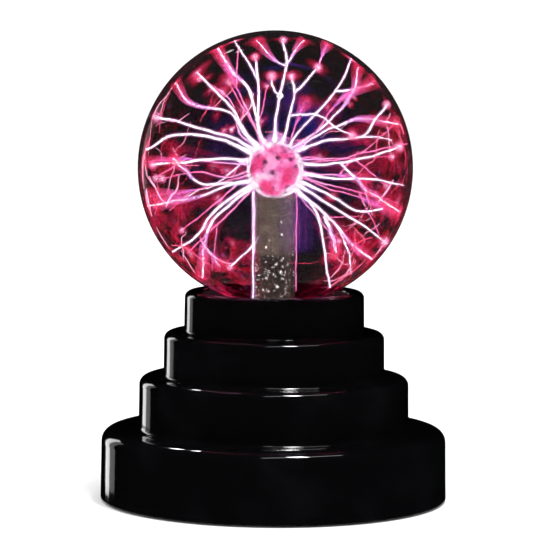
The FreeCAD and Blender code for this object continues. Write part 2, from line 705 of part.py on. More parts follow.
def bay_ribs():
    """Low ribs on the bay's ceiling that keep neighbouring cells apart."""
    return [
        box(
            -BAY_HALF_X + BAY_RIB_SET_IN,
            BAY_HALF_X - BAY_RIB_SET_IN,
            y + CELL_DIAMETER / 2 - BAY_RIB_W / 2,
            y + CELL_DIAMETER / 2 + BAY_RIB_W / 2,
            BAY_CEILING - BAY_RIB_H,
            BAY_CEILING + BAY_WALL / 2,
        )
        for y in contact_rows()[:-1]
    ]


def door_recess():
    reach = DOOR_LEDGE + DOOR_CLEARANCE
    return box(
        -BAY_HALF_X - reach,
        BAY_HALF_X + reach,
        BAY_FRONT_Y - reach,
        BAY_REAR_Y + reach,
        COVER_BOTTOM - CUT_OVER,
        RECESS_TOP,
    )


def finger_scoop():
    return rod(
        SCOOP_RADIUS,
        (0, BAY_REAR_Y + DOOR_LEDGE + SCOOP_SET_BACK, COVER_BOTTOM - CUT_OVER),
        CUT_OVER + SCOOP_DEPTH,
    )


def cover_cutters():
    cutters = [door_recess(), finger_scoop()]
    for x, y in ring_points(FOOT_RING, FOOT_ANGLES):
        cutters.append(rod(FOOT_RADIUS + FIT, (x, y, COVER_BOTTOM - CUT_OVER), CUT_OVER + FOOT_SINK))
    head_room = CUT_OVER + HEAD_DEPTH + COVER_HEAD_H
    for x, y in ring_points(COVER_SCREW_RING, COVER_SCREW_ANGLES):
        cutters.append(rod(COVER_HEAD_R + LOOSE, (x, y, COVER_BOTTOM - CUT_OVER), head_room))
        cutters.append(rod(COVER_SCREW_R + LOOSE, (x, y, COVER_BOTTOM), COVER_T + CUT_OVER))
    for x, y in BOARD_HOLES:
        pilot_z = COVER_TOP - BOARD_PILOT_IN_COVER
        deep = BOARD_PILOT_IN_COVER + BOARD_LIFT + CUT_OVER
        cutters.append(rod(BOARD_SCREW_R + FIT, (x, y, pilot_z), deep))
    socket_r = DOOR_PIN_R + DOOR_PIN_CLEARANCE
    socket_half = BAY_HALF_X + DOOR_LEDGE + DOOR_PIN_LENGTH + DOOR_PIN_END_GAP
    cutters.append(rod(socket_r, (-socket_half, DOOR_AXIS_Y, DOOR_AXIS_Z), 2 * socket_half, X_AXIS))
    for y in (contact_rows()[0], contact_rows()[-1]):
        cutters.append(
            box(
                -BAY_HALF_X,
                -BAY_HALF_X + CONTACT_SLOT_T,
                y - CONTACT_SLOT_W / 2,
                y + CONTACT_SLOT_W / 2,
                BAY_CEILING - CUT_OVER,
                BAY_ROOF + CUT_OVER,
            )
        )
    return cutters


def battery_door():
    half_x = BAY_HALF_X + DOOR_LEDGE
    rear_y = BAY_REAR_Y + DOOR_LEDGE
    plate = box(-half_x, half_x, DOOR_AXIS_Y, rear_y, COVER_BOTTOM, DOOR_TOP)
    edge = rod(DOOR_T / 2, (-half_x, DOOR_AXIS_Y, DOOR_AXIS_Z), 2 * half_x, X_AXIS)
    pin_half = half_x + DOOR_PIN_LENGTH
    pins = rod(DOOR_PIN_R, (-pin_half, DOOR_AXIS_Y, DOOR_AXIS_Z), 2 * pin_half, X_AXIS)
    leg_y = BAY_REAR_Y - LATCH_GAP
    leg = box(
        -LATCH_WIDTH / 2, LATCH_WIDTH / 2, leg_y - LATCH_T, leg_y, DOOR_AXIS_Z, DOOR_TOP + LATCH_HEIGHT
    )
    rib_half_x = half_x - BAY_RIB_SET_IN
    ribs = [
        box(-rib_half_x, rib_half_x, y, y + DOOR_RIB_W, DOOR_AXIS_Z, DOOR_TOP + DOOR_RIB_H)
        for y in (BAY_FRONT_Y + DOOR_RIB_SET_IN, BAY_REAR_Y - DOOR_RIB_SET_IN)
    ]
    door = joined([plate, edge, pins, leg] + ribs)
    door = door.cut(finger_scoop())
    first_groove = rear_y + SCOOP_SET_BACK - SCOOP_RADIUS - GRIP_PITCH
    for i in range(GRIP_GROOVES):
        y = first_groove - GRIP_PITCH * i
        groove = box(
            -GRIP_HALF_WIDTH,
            GRIP_HALF_WIDTH,
            y,
            y + GRIP_GROOVE_W,
            COVER_BOTTOM - CUT_OVER,
            COVER_BOTTOM + GRIP_GROOVE_DEPTH,
        )
        door = door.cut(groove)
    for side in (-1, 1):
        x = side * (LATCH_WIDTH / 2 + LATCH_SLIT_W)
        slit = box(
            x - LATCH_SLIT_W / 2,
            x + LATCH_SLIT_W / 2,
            rear_y - LATCH_SLIT_LENGTH,
            rear_y + CUT_OVER,
            COVER_BOTTOM - CUT_OVER,
            DOOR_TOP + CUT_OVER,
        )
        door = door.cut(slit)
    return door


def rubber_feet():
    feet = []
    for x, y in ring_points(FOOT_RING, FOOT_ANGLES):
        pad = rod(FOOT_RADIUS, (x, y, 0), COVER_BOTTOM + FOOT_SINK)
        feet.append(pad.makeFillet(FOOT_ROUND, circle_edge_at(pad, "z", 0.0)))
    return Part.makeCompound(feet)


def cover_screws():
    face_z = COVER_BOTTOM + HEAD_DEPTH
    return Part.makeCompound(
        [
            placed(screw(COVER_SCREW_LENGTH, COVER_SCREW_R, COVER_HEAD_R, COVER_HEAD_H), (x, y, face_z))
            for x, y in ring_points(COVER_SCREW_RING, COVER_SCREW_ANGLES)
        ]
    )


# ---- battery contacts ---------------------------------------------------------------------
def contact_plate(side, rows, tail):
    """A thin plate at one end of the bay, with a solder tail through the roof if tail is set."""
    x0 = side * BAY_HALF_X - (CONTACT_T if side > 0 else 0)
    plate = box(
        x0,
        x0 + CONTACT_T,
        rows[0] - CONTACT_HALF,
        rows[-1] + CONTACT_HALF,
        CONTACT_Z - CONTACT_HALF,
        CONTACT_Z + CONTACT_HALF,
    )
    if not tail:
        return plate
    half = CONTACT_TAIL_W / 2
    strip = box(x0, x0 + CONTACT_T, rows[0] - half, rows[0] + half, CONTACT_Z, BAY_ROOF + CONTACT_TAIL_UP)
    return joined([plate, strip])


def battery_contacts():
    """The cells stand head to tail, so the plates link them in series between the two tails."""
    rows = contact_rows()
    return Part.makeCompound(
        [
            contact_plate(-1, rows[:1], True),
            contact_plate(-1, rows[1:3], False),
            contact_plate(-1, rows[3:], True),
            contact_plate(1, rows[:2], False),
            contact_plate(1, rows[2:], False),
        ]
    )


def battery_springs():
    lean = -math.degrees(math.atan2(SPRING_FOOT_R - SPRING_TIP_R, SPRING_LENGTH))
    springs = []
    for i, y in enumerate(contact_rows()):
        side = -1 if i % 2 == 0 else 1
        helix = Part.makeHelix(SPRING_LENGTH / SPRING_COILS, SPRING_LENGTH, SPRING_FOOT_R, lean)
        wire = Part.Wire([Part.Circle(V(SPRING_FOOT_R, 0, 0), Y_AXIS, SPRING_WIRE_R).toShape()])
        coil = Part.Wire(helix.Edges).makePipeShell([wire], True, True)
        base_x = side * (BAY_HALF_X - CONTACT_T - SPRING_WIRE_R)
        springs.append(placed(coil, (base_x, y, CONTACT_Z), V(-side, 0, 0)))
    return Part.makeCompound(springs)


# ---- circuit board ------------------------------------------------------------------------
def circuit_board():
    half = BOARD_HALF_WIDTH
    outline = [
        (-half, BOARD_FRONT_Y),
        (half, BOARD_FRONT_Y),
        (half, BOARD_REAR_Y - BOARD_CHAMFER),
        (half - BOARD_CHAMFER, BOARD_REAR_Y),
        (-half + BOARD_CHAMFER, BOARD_REAR_Y),
        (-half, BOARD_REAR_Y - BOARD_CHAMFER),
    ]
    wire = Part.makePolygon([V(x, y, BOARD_BOTTOM) for x, y in outline + outline[:1]])
    board = Part.Face(wire).extrude(V(0, 0, BOARD_T))
    for x, y in BOARD_HOLES:
        hole = rod(BOARD_SCREW_R + LOOSE, (x, y, BOARD_BOTTOM - CUT_OVER), BOARD_T + 2 * CUT_OVER)
        board = board.cut(hole)
    return board


def board_screws():
    down = V(0, 0, -1)
    face_z = BOARD_TOP + BOARD_HEAD_H
    shank = BOARD_T + BOARD_LIFT
    return Part.makeCompound(
        [
            placed(screw(shank, BOARD_SCREW_R, BOARD_HEAD_R, BOARD_HEAD_H), (x, y, face_z), down)
            for x, y in BOARD_HOLES
        ]
    )


def transformer_core():
    """A closed ferrite frame with a middle leg, standing on edge."""
    half_x = CORE_SIZE[0] / 2
    half_y = CORE_SIZE[1] / 2
    cx, cy = CORE_CENTRE
    core = box(cx - half_x, cx + half_x, cy - half_y, cy + half_y, CORE_BOTTOM, CORE_TOP)
    half_leg = CORE_LEG / 2
    for side in (-1, 1):
        x0, x1 = sorted((cx + side * half_leg, cx + side * (half_x - half_leg)))
        window = box(
            x0,
            x1,
            cy - half_y - CUT_OVER,
            cy + half_y + CUT_OVER,
            CORE_BOTTOM + half_leg,
            CORE_TOP - half_leg,
        )
        core = core.cut(window)
    feet = [
        box(x - half_leg, x + half_leg, cy - half_y, cy + half_y, BOARD_TOP, CORE_BOTTOM)
        for x in (cx - half_x + half_leg, cx + half_x - half_leg)
    ]
    return joined([core] + feet)


def transformer_bobbin():
    cx, cy = CORE_CENTRE
    flange_x = CORE_SIZE[0] / 2 - CORE_LEG / 2 - COIL_GAP
    flange_y = HV_COIL_R + BOBBIN_FLANGE_OVER
    body = rod(BOBBIN_BODY_R, (cx, cy, BOBBIN_BOTTOM), BOBBIN_TOP - BOBBIN_BOTTOM)
    flanges = [
        box(cx - flange_x, cx + flange_x, cy - flange_y, cy + flange_y, z, z + BOBBIN_WALL)
        for z in (BOBBIN_BOTTOM, BOBBIN_TOP - BOBBIN_WALL)
    ]
    leg_x = CORE_LEG / 2 + COIL_GAP
    leg_y = CORE_SIZE[1] / 2 + COIL_GAP
    bore = box(
        cx - leg_x,
        cx + leg_x,
        cy - leg_y,
        cy + leg_y,
        BOBBIN_BOTTOM - CUT_OVER,
        BOBBIN_TOP + CUT_OVER,
    )
    return joined([body] + flanges).cut(bore)


def primary_winding():
    return tube(PRIMARY_R, BOBBIN_BODY_R + FIT, WINDING_BOTTOM + FIT, WINDING_SPLIT, CORE_CENTRE)


def high_voltage_coil():
    return tube(HV_COIL_R, BOBBIN_BODY_R + FIT, WINDING_SPLIT + WINDING_GAP, WINDING_TOP - FIT, CORE_CENTRE)


def heat_sink():
    cx, cy = HEAT_SINK_CENTRE
    x0 = cx - HEAT_SINK_WIDTH / 2
    top = BOARD_TOP + SINK_HEIGHT
    web_y = SINK_REAR_Y - HEAT_SINK_WEB
    web = box(x0, x0 + HEAT_SINK_WIDTH, web_y, SINK_REAR_Y, BOARD_TOP, top)
    pitch = (HEAT_SINK_WIDTH - HEAT_SINK_FIN_T) / (HEAT_SINK_FINS - 1)
    fins = [
        box(
            x0 + i * pitch,
            x0 + i * pitch + HEAT_SINK_FIN_T,
            SINK_REAR_Y - HEAT_SINK_DEPTH,
            web_y + HEAT_SINK_WEB / 2,
            BOARD_TOP,
            top,
        )
        for i in range(HEAT_SINK_FINS)
    ]
    point_room = SINK_SCREW_R + THREAD_ROOM
    hole_start = (cx, web_y - point_room, SINK_HOLE_Z)
    hole = rod(SINK_SCREW_R + FIT, hole_start, HEAT_SINK_WEB + point_room + CUT_OVER, Y_AXIS)
    sink = joined([web] + fins)
    return sink.cut(hole)


def transistor():
    """Power transistor: moulded body, metal tab and three legs, flat against the heat sink."""
    cx = HEAT_SINK_CENTRE[0]
    half = TRANSISTOR_WIDTH / 2
    low = BOARD_TOP + TRANSISTOR_LIFT
    tab_face = SINK_REAR_Y + TRANSISTOR_TAB_T
    tab = box(cx - half, cx + half, SINK_REAR_Y, tab_face, low, BOARD_TOP + SINK_HEIGHT)
    body_top = SINK_HOLE_Z - SINK_HEAD_R - LOOSE
    body = box(cx - half, cx + half, tab_face, tab_face + TRANSISTOR_BODY_T, low, body_top)
    leg_y = tab_face + TRANSISTOR_BODY_T / 2
    leg_half = TRANSISTOR_LEG_W / 2
    legs = [
        box(x - leg_half, x + leg_half, leg_y, leg_y + TERMINAL_T, BOARD_TOP, low + TERMINAL_T)
        for x in (cx - TRANSISTOR_LEG_PITCH, cx, cx + TRANSISTOR_LEG_PITCH)
    ]
    whole = joined([tab, body] + legs)
    hole_length = TRANSISTOR_TAB_T + 2 * CUT_OVER
    return whole.cut(rod(TRANSISTOR_HOLE_R, (cx, SINK_REAR_Y - CUT_OVER, SINK_HOLE_Z), hole_length, Y_AXIS))


def heat_sink_screw():
    shank = TRANSISTOR_TAB_T + HEAT_SINK_WEB
    face_y = SINK_REAR_Y + TRANSISTOR_TAB_T + SINK_HEAD_H
    made = screw(shank - FIT, SINK_SCREW_R, SINK_HEAD_R, SINK_HEAD_H)
    return placed(made, (HEAT_SINK_CENTRE[0], face_y, SINK_HOLE_Z), V(0, -1, 0))


def electrolytic_capacitors():
    cans = []
    groove_z = BOARD_TOP + CAPACITOR_GROOVE_Z
    for x, y, radius, height in CAPACITORS:
        can = rod(radius, (x, y, BOARD_TOP), height)
        can = can.makeFillet(CAPACITOR_ROUND, circle_edge_at(can, "z", BOARD_TOP + height))
        groove = tube(
            radius + CUT_OVER,
            radius - CAPACITOR_GROOVE_DEPTH,
            groove_z,
            groove_z + CAPACITOR_GROOVE_H,
            (x, y),
        )
        cans.append(can.cut(groove))
    return Part.makeCompound(cans)


def film_capacitor():
    width, depth, height = FILM_CAPACITOR
    cx, cy = FILM_CAPACITOR_AT
    low = BOARD_TOP + FILM_CAPACITOR_LIFT
    block = box(cx - width / 2, cx + width / 2, cy - depth / 2, cy + depth / 2, low, low + height)
    block = block.makeFillet(FILM_CAPACITOR_ROUND, block.Edges)
    legs = [
        rod(LEG_WIRE_R, (x, cy, BOARD_TOP), 2 * FILM_CAPACITOR_LIFT)
        for x in (cx - FILM_CAPACITOR_LEGS / 2, cx + FILM_CAPACITOR_LEGS / 2)
    ]
    return joined([block] + legs)


def resistors():
    made = []
    z = BOARD_TOP + RESISTOR_RADIUS + RESISTOR_LIFT
    for cx, cy in RESISTORS_AT:
        left = cx - RESISTOR_LENGTH / 2
        core = rod(RESISTOR_WAIST_R, (left, cy, z), RESISTOR_LENGTH, X_AXIS)
        caps = [
            rod(RESISTOR_RADIUS, (x, cy, z), RESISTOR_CAP, X_AXIS)
            for x in (left, left + RESISTOR_LENGTH - RESISTOR_CAP)
        ]
        wire = rod(LEG_WIRE_R, (cx - RESISTOR_LEGS / 2, cy, z), RESISTOR_LEGS, X_AXIS)
        ends = (cx - RESISTOR_LEGS / 2, cx + RESISTOR_LEGS / 2)
        drops = [rod(LEG_WIRE_R, (x, cy, BOARD_TOP), z - BOARD_TOP) for x in ends]
        knees = [Part.makeSphere(LEG_WIRE_R, V(x, cy, z)) for x in ends]
        made.append(joined([core, wire] + caps + drops + knees))
    return Part.makeCompound(made)


# ---- power inlet and slide switch ---------------------------------------------------------
def jack_housing():
    width, depth, height = JACK_SIZE
    front = FITTING_FRONT_Y
    body = box(JACK_X - width / 2, JACK_X + width / 2, front - depth, front, BOARD_TOP, BOARD_TOP + height)
    nose = rod(JACK_NOSE_R, (JACK_X, front - CUT_OVER, PANEL_MID_Z), JACK_NOSE_LENGTH + CUT_OVER, Y_AXIS)
    mouth = front + JACK_NOSE_LENGTH
    bore = rod(JACK_BORE_R, (JACK_X, mouth - JACK_BORE_DEPTH, PANEL_MID_Z), JACK_BORE_DEPTH, Y_AXIS)
    entry_at = V(JACK_X, mouth - JACK_ENTRY, PANEL_MID_Z)
    entry = Part.makeCone(JACK_BORE_R, JACK_BORE_R + JACK_ENTRY, JACK_ENTRY, entry_at, Y_AXIS)
    pin_hole = rod(JACK_PIN_ROOT_R + FIT, (JACK_X, front - depth - CUT_OVER, PANEL_MID_Z), depth, Y_AXIS)
    return joined([body, nose]).cut(bore).cut(entry).cut(pin_hole)


def jack_pin():
    """Centre contact of the inlet, held in the housing's back wall."""
    floor = FITTING_FRONT_Y + JACK_NOSE_LENGTH - JACK_BORE_DEPTH
    back = FITTING_FRONT_Y - JACK_SIZE[1]
    tip_y = floor + JACK_PIN_LENGTH
    root = rod(JACK_PIN_ROOT_R, (JACK_X, back, PANEL_MID_Z), floor - back, Y_AXIS)
    pin = rod(JACK_PIN_R, (JACK_X, floor, PANEL_MID_Z), JACK_PIN_LENGTH, Y_AXIS)
    pin = pin.makeFillet(JACK_PIN_ROUND, circle_edge_at(pin, "y", tip_y))
    half = JACK_TAIL_HALF_W
    tail = box(JACK_X - half, JACK_X + half, back - TERMINAL_T, back, BOARD_TOP, PANEL_MID_Z + half)
    return joined([root, pin, tail])


def switch_case():
    """Folded steel frame of the slide switch, open at the back, with the knob's slot in front."""
    width, depth, height = SWITCH_SIZE
    front = FITTING_FRONT_Y
    x0 = SWITCH_X - width / 2
    x1 = SWITCH_X + width / 2
    case = box(x0, x1, front - depth, front, BOARD_TOP, BOARD_TOP + height)
    room = box(
        x0 + SWITCH_SKIN,
        x1 - SWITCH_SKIN,
        front - depth - CUT_OVER,
        front - SWITCH_SKIN,
        BOARD_TOP + SWITCH_SKIN,
        BOARD_TOP + height - SWITCH_SKIN,
    )
    slot = box(
        SWITCH_X - SLOT_HALF,
        SWITCH_X + SLOT_HALF,
        front - SWITCH_SKIN - CUT_OVER,
        front + CUT_OVER,
        PANEL_MID_Z - SLOT_HALF_HEIGHT,
        PANEL_MID_Z + SLOT_HALF_HEIGHT,
    )
    return case.cut(room).cut(slot)


def switch_base():
    """Moulded back of the switch with its three terminals."""
    width, depth, height = SWITCH_SIZE
    gap = SWITCH_SKIN + FIT
    y0 = FITTING_FRONT_Y - depth
    base = box(
        SWITCH_X - width / 2 + gap,
        SWITCH_X + width / 2 - gap,
        y0,
        y0 + SWITCH_BASE_T,
        BOARD_TOP + gap,
        BOARD_TOP + height - gap,
    )
    half = TERMINAL_T
    legs = [
        box(x - half, x + half, y0 - TERMINAL_T, y0, BOARD_TOP, PANEL_MID_Z + half)
        for x in (SWITCH_X - SWITCH_PITCH, SWITCH_X, SWITCH_X + SWITCH_PITCH)
    ]
    return joined([base] + legs)


def switch_knob():
    """Knob and carriage, at the left end of the travel, where the ball is switched on."""
    cx = SWITCH_X - SWITCH_TRAVEL / 2
    half_w = KNOB_SIZE[0] / 2
    half_h = KNOB_SIZE[1] / 2
    front = FITTING_FRONT_Y - SWITCH_SKIN - CARRIAGE_FRONT_GAP
    carriage_half_h = SWITCH_SIZE[2] / 2 - SWITCH_SKIN - CARRIAGE_GAP
    carriage = box(
        cx - CARRIAGE_WIDTH / 2,
        cx + CARRIAGE_WIDTH / 2,
        front - CARRIAGE_DEPTH,
        front,
        PANEL_MID_Z - carriage_half_h,
        PANEL_MID_Z + carriage_half_h,
    )
    tip = PANEL_Y + KNOB_PROUD
    finger = box(
        cx - half_w,
        cx + half_w,
        front - CARRIAGE_DEPTH / 2,
        tip,
        PANEL_MID_Z - half_h,
        PANEL_MID_Z + half_h,
    )
    finger = finger.makeFillet(KNOB_ROUND, [e for e in finger.Edges if abs(e.CenterOfMass.y - tip) < SAME])
    knob = joined([carriage, finger])
    for i in (-1, 0, 1):
        x = cx + i * KNOB_GROOVE_PITCH
        groove = box(
            x - KNOB_GROOVE / 2,
            x + KNOB_GROOVE / 2,
            tip - KNOB_GROOVE_DEPTH,
            tip + CUT_OVER,
            PANEL_MID_Z - half_h - CUT_OVER,
            PANEL_MID_Z + half_h + CUT_OVER,
        )
        knob = knob.cut(groove)
    return knob


# ---- wires --------------------------------------------------------------------------------
def high_voltage_lead():
    """From the side of the high-voltage coil up through the stem into the steel wool."""
    cx, cy = CORE_CENTRE
    start_y = cy - HV_COIL_R
    start_z = WINDING_TOP - HV_LEAD_R - HV_LEAD_TO_FLANGE
    turn_y = start_y - HV_LEAD_RUN
    flare_z = FLARE_BOTTOM - HV_LEAD_BELOW_FLARE
    climb = flare_z - start_z
    return bent_rod(
        [
            (cx, start_y, start_z),
            (cx, turn_y, start_z),
        ]
        + [(cx + HV_LEAD_SWAY, turn_y * inward, start_z + climb * up) for inward, up in HV_LEAD_BENDS]
        + [(0, 0, flare_z), (0, 0, WOOL_BOTTOM + HV_LEAD_IN_WOOL)],
        HV_LEAD_R,
    )


def battery_lead(row_y, end, lane_x):
    """From a contact's solder tail over the bay's roof and down to the board."""
    start_x = -BAY_HALF_X + CONTACT_T
    run_z = BAY_ROOF + BATTERY_LEAD_R + LEAD_OVER_ROOF
    return bent_rod(
        [
            (start_x, row_y, run_z),
            (start_x + LEAD_FIRST_RUN, row_y, run_z),
            (lane_x, row_y + LEAD_SIDE_STEP, run_z + LEAD_OVER_ROOF),
            (lane_x, end[1] - 2 * BATTERY_LEAD_R, run_z + LEAD_OVER_ROOF),
            (end[0], end[1], run_z - 2 * BATTERY_LEAD_R),
            (end[0], end[1], BOARD_TOP),
        ],
        BATTERY_LEAD_R,
    )


def battery_lead_red():
    return battery_lead(contact_rows()[0], LEAD_ENDS[0], LEAD_LANES[0])


def battery_lead_black():
    return battery_lead(contact_rows()[-1], LEAD_ENDS[1], LEAD_LANES[1])


PIECES = (
    base_shell,
    globe,
    glass_stem,
    exhaust_tip,
    steel_wool_core,
    globe_gasket,
    neck_collar,
    neck_sealant,
    collar_screws,
    bottom_cover,
    battery_door,
    rubber_feet,
    cover_screws,
    battery_contacts,
    battery_springs,
    circuit_board,
    board_screws,
    transformer_core,
    transformer_bobbin,
    primary_winding,
    high_voltage_coil,
    heat_sink,
    transistor,
    heat_sink_screw,
    electrolytic_capacitors,
    film_capacitor,
    resistors,
    jack_housing,
    jack_pin,
    switch_case,
    switch_base,
    switch_knob,
    high_voltage_lead,
    battery_lead_red,
    battery_lead_black,
)


def main():
    os.makedirs("parts", exist_ok=True)
    for make in PIECES:
        shape = make()
        print(make.__name__, len(shape.Solids), round(shape.Volume, 1), shape.isValid())
        shape.exportStep("parts/" + make.__name__ + ".step")


main()
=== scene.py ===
"""Looks of the desk plasma ball: glossy stepped base, dark glass globe and the discharge in it."""
import math
import random

import bpy
from mathutils import Matrix, Vector, noise


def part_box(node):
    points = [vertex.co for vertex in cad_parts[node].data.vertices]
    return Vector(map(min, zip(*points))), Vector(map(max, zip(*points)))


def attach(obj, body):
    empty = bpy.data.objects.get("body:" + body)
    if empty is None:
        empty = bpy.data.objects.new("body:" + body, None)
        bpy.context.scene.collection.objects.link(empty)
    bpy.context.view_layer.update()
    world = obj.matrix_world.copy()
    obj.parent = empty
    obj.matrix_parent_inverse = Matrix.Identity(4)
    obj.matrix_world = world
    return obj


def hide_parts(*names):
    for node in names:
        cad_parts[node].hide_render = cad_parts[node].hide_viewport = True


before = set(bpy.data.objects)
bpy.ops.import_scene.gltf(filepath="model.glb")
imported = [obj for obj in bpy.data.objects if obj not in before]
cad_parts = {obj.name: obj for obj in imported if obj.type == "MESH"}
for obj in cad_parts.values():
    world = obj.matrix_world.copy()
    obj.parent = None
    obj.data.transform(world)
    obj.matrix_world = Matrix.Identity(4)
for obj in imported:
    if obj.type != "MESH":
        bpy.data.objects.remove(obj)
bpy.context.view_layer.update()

MM = 0.001
WAVE_SPAN = 0.314                          # width of one band of a wave texture of scale 1
BODY = "base_and_globe"
rng = random.Random(7)
noise.seed_set(7)                          # noise_vector would otherwise follow the clock

# ---- places taken from the frame ----
GLOBE_LOW, GLOBE_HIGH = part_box("globe")
GLOBE_R = (GLOBE_HIGH.x - GLOBE_LOW.x) / 2
CENTRE = Vector((0.0, 0.0, GLOBE_HIGH.z - GLOBE_R))
GLASS_T = 1.6 * MM
INNER_R = GLOBE_R - GLASS_T
WOOL_LOW, WOOL_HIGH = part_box("steel_wool_core")
BULB_IN_R = (WOOL_HIGH.x - WOOL_LOW.x) / 2
BULB_SKIN = 1.15 * MM                      # from the wool's ball to the bulb's outside
BULB_R = BULB_IN_R + BULB_SKIN
BULB_CENTRE = Vector((0.0, 0.0, WOOL_HIGH.z - BULB_IN_R))
STEM_R = 5.7 * MM
WOOL_R = 4.35 * MM
SKIN_R = GLOBE_R - 0.3 * MM                # nothing that glows reaches past this
GAS_R = INNER_R + 0.5 * MM                 # where the arcs end on the glass
REACH = GAS_R / GLOBE_R
FOIL_TOP = BULB_CENTRE.z - 22.5 * MM       # smooth wool above, crumpled wool from here down
FOIL_BLEND = 2.0 * MM


def limited(value):
    """The value kept between 0 and 1."""
    return max(0.0, min(1.0, value))


# ---- shader maths ----
class Value:
    """A number that varies over a surface. Ordinary operators add the Math nodes."""

    def __init__(self, finish, socket):
        self.finish = finish
        self.socket = socket

    def _math(self, operation, *terms):
        return self.finish.add("Math", dict(enumerate(terms)), operation=operation)

    def __add__(self, other):
        return self._math("ADD", self, other)

    __radd__ = __add__

    def __mul__(self, other):
        return self._math("MULTIPLY", self, other)

    __rmul__ = __mul__

    def __sub__(self, other):
        return self._math("SUBTRACT", self, other)

    def __rsub__(self, other):
        return self._math("SUBTRACT", other, self)

    def __abs__(self):
        return self._math("ABSOLUTE", self)

    def __gt__(self, other):
        return self._math("GREATER_THAN", self, other)

    def least(self, other):
        return self._math("MINIMUM", self, other)

    def between(self, low, high):
        """0 below low, 1 above high, smooth between."""
        sockets = {"Value": self, "From Min": low, "From Max": high}
        return self.finish.add("MapRange", sockets, interpolation_type="SMOOTHSTEP")


class Finish:
    """One material: its nodes are added by name, and shade() ends it in a Principled shader."""

    def __init__(self, name):
        self.material = bpy.data.materials.new(name)
        self.material.use_nodes = True
        self.nodes = self.material.node_tree.nodes
        self.links = self.material.node_tree.links
        self.nodes.clear()

    def add(self, kind, sockets=None, output=0, **settings):
        """A shader node with its settings and inputs, given back as the Value of one output."""
        node = self.nodes.new("ShaderNode" + kind)
        for key, value in settings.items():
            setattr(node, key, value)
        for key, value in (sockets or {}).items():
            if isinstance(value, Value):
                self.links.new(value.socket, node.inputs[key])
            else:
                node.inputs[key].default_value = value
        return Value(self, node.outputs[output]) if node.outputs else None

    def place(self, stretch=(1.0, 1.0, 1.0), shift=(0.0, 0.0, 0.0)):
        """Position on the piece in metres, stretched and shifted."""
        here = self.add("TexCoord", output=3)
        return self.add("Mapping", {0: here, "Location": shift, "Scale": stretch})

    def axis(self, index):
        return self.add("SeparateXYZ", {0: self.add("TexCoord", output=3)}, output=index)

    def noise(self, size, detail=3.0, rough=0.55, where=None, warp=0.0):
        """Cloudy noise from 0 to 1 whose largest features are about size metres."""
        sockets = {
            "Vector": where or self.place(),
            "Scale": 1.0 / size,
            "Detail": detail,
            "Roughness": rough,
            "Distortion": warp,
        }
        return self.add("TexNoise", sockets)

    def cells(self, size, feature="F1"):
        return self.add("TexVoronoi", {"Vector": self.place(), "Scale": 1.0 / size}, feature=feature)

    def bands(self, size, direction="Z", warp=0.0):
        """Even bands about size metres apart along one axis."""
        sockets = {"Vector": self.place(), "Scale": WAVE_SPAN / size, "Distortion": warp}
        return self.add("TexWave", sockets, 1, wave_type="BANDS", bands_direction=direction)

    def marked(self, name):
        """A number stored on the mesh's points."""
        return self.add("Attribute", output=2, attribute_name=name)

    def blend(self, factor, first, second):
        """Colour mix: first where factor is 0, second where it is 1."""
        return self.add("Mix", {0: factor, 6: rgba(first), 7: rgba(second)}, 2, data_type="RGBA")

    def ramp(self, factor, *stops):
        """Colours along the factor, from stops of (position, colour)."""
        look = self.add("ValToRGB", {0: factor})
        elements = look.socket.node.color_ramp.elements
        while len(elements) < len(stops):
            elements.new(0.5)
        for element, (position, colour) in zip(elements, stops):
            element.position = position
            element.color = rgba(colour)
        return look

    def bump(self, height, depth, strength=1.0):
        return self.add("Bump", {"Height": height, "Distance": depth, "Strength": strength})

    def shade(self, **looks):
        sockets = {key.replace("_", " "): rgba(value) for key, value in looks.items()}
        self.add("OutputMaterial", {"Surface": self.add("BsdfPrincipled", sockets)})
        return self.material

    def shine(self, **looks):
        """shade() for a piece that glows. It isn't sampled as a lamp, which would only add noise."""
        self.shade(**looks).cycles.emission_sampling = "NONE"
        return self.material


def rgba(value):
    """A three-number colour as the four numbers that a colour socket takes."""
    return (*value, 1.0) if isinstance(value, tuple) and len(value) == 3 else value


def add_object(name, data):
    thing = bpy.data.objects.new(name, data)
    bpy.context.scene.collection.objects.link(thing)
    return thing


# ---- camera, stage and lights ----
def set_camera():
    """A long lens straight in front, level with the globe's foot and tilted a little down."""
    look_down, lean = math.radians(5.295), math.radians(0.4)
    lens = bpy.data.cameras.new("camera")
    lens.lens = 194.2
    lens.sensor_width = 36.0
    lens.clip_end = 20.0
    camera = add_object("camera", lens)
    camera.location = (0.00025, -0.836, 0.141)
    tilt = Matrix.Rotation(math.pi / 2 - look_down, 4, "X")
    roll = Matrix.Rotation(lean, 4, "Z")
    camera.matrix_world = Matrix.Translation(camera.location) @ tilt @ roll
    bpy.context.scene.camera = camera


def set_lamp(name, direction, distance, size, watts, aim=(0.0, 0.0, 0.06)):
    """A soft rectangular lamp aimed at the object, itself hidden from the camera."""
    light = bpy.data.lights.new(name, "AREA")
    light.shape = "RECTANGLE"
    light.size, light.size_y = size
    light.energy = watts
    lamp = add_object(name, light)
    away = Vector(direction).normalized()
    lamp.location = Vector(aim) + away * distance
    lamp.rotation_euler = away.to_track_quat("Z", "Y").to_euler()
    lamp.visible_camera = False


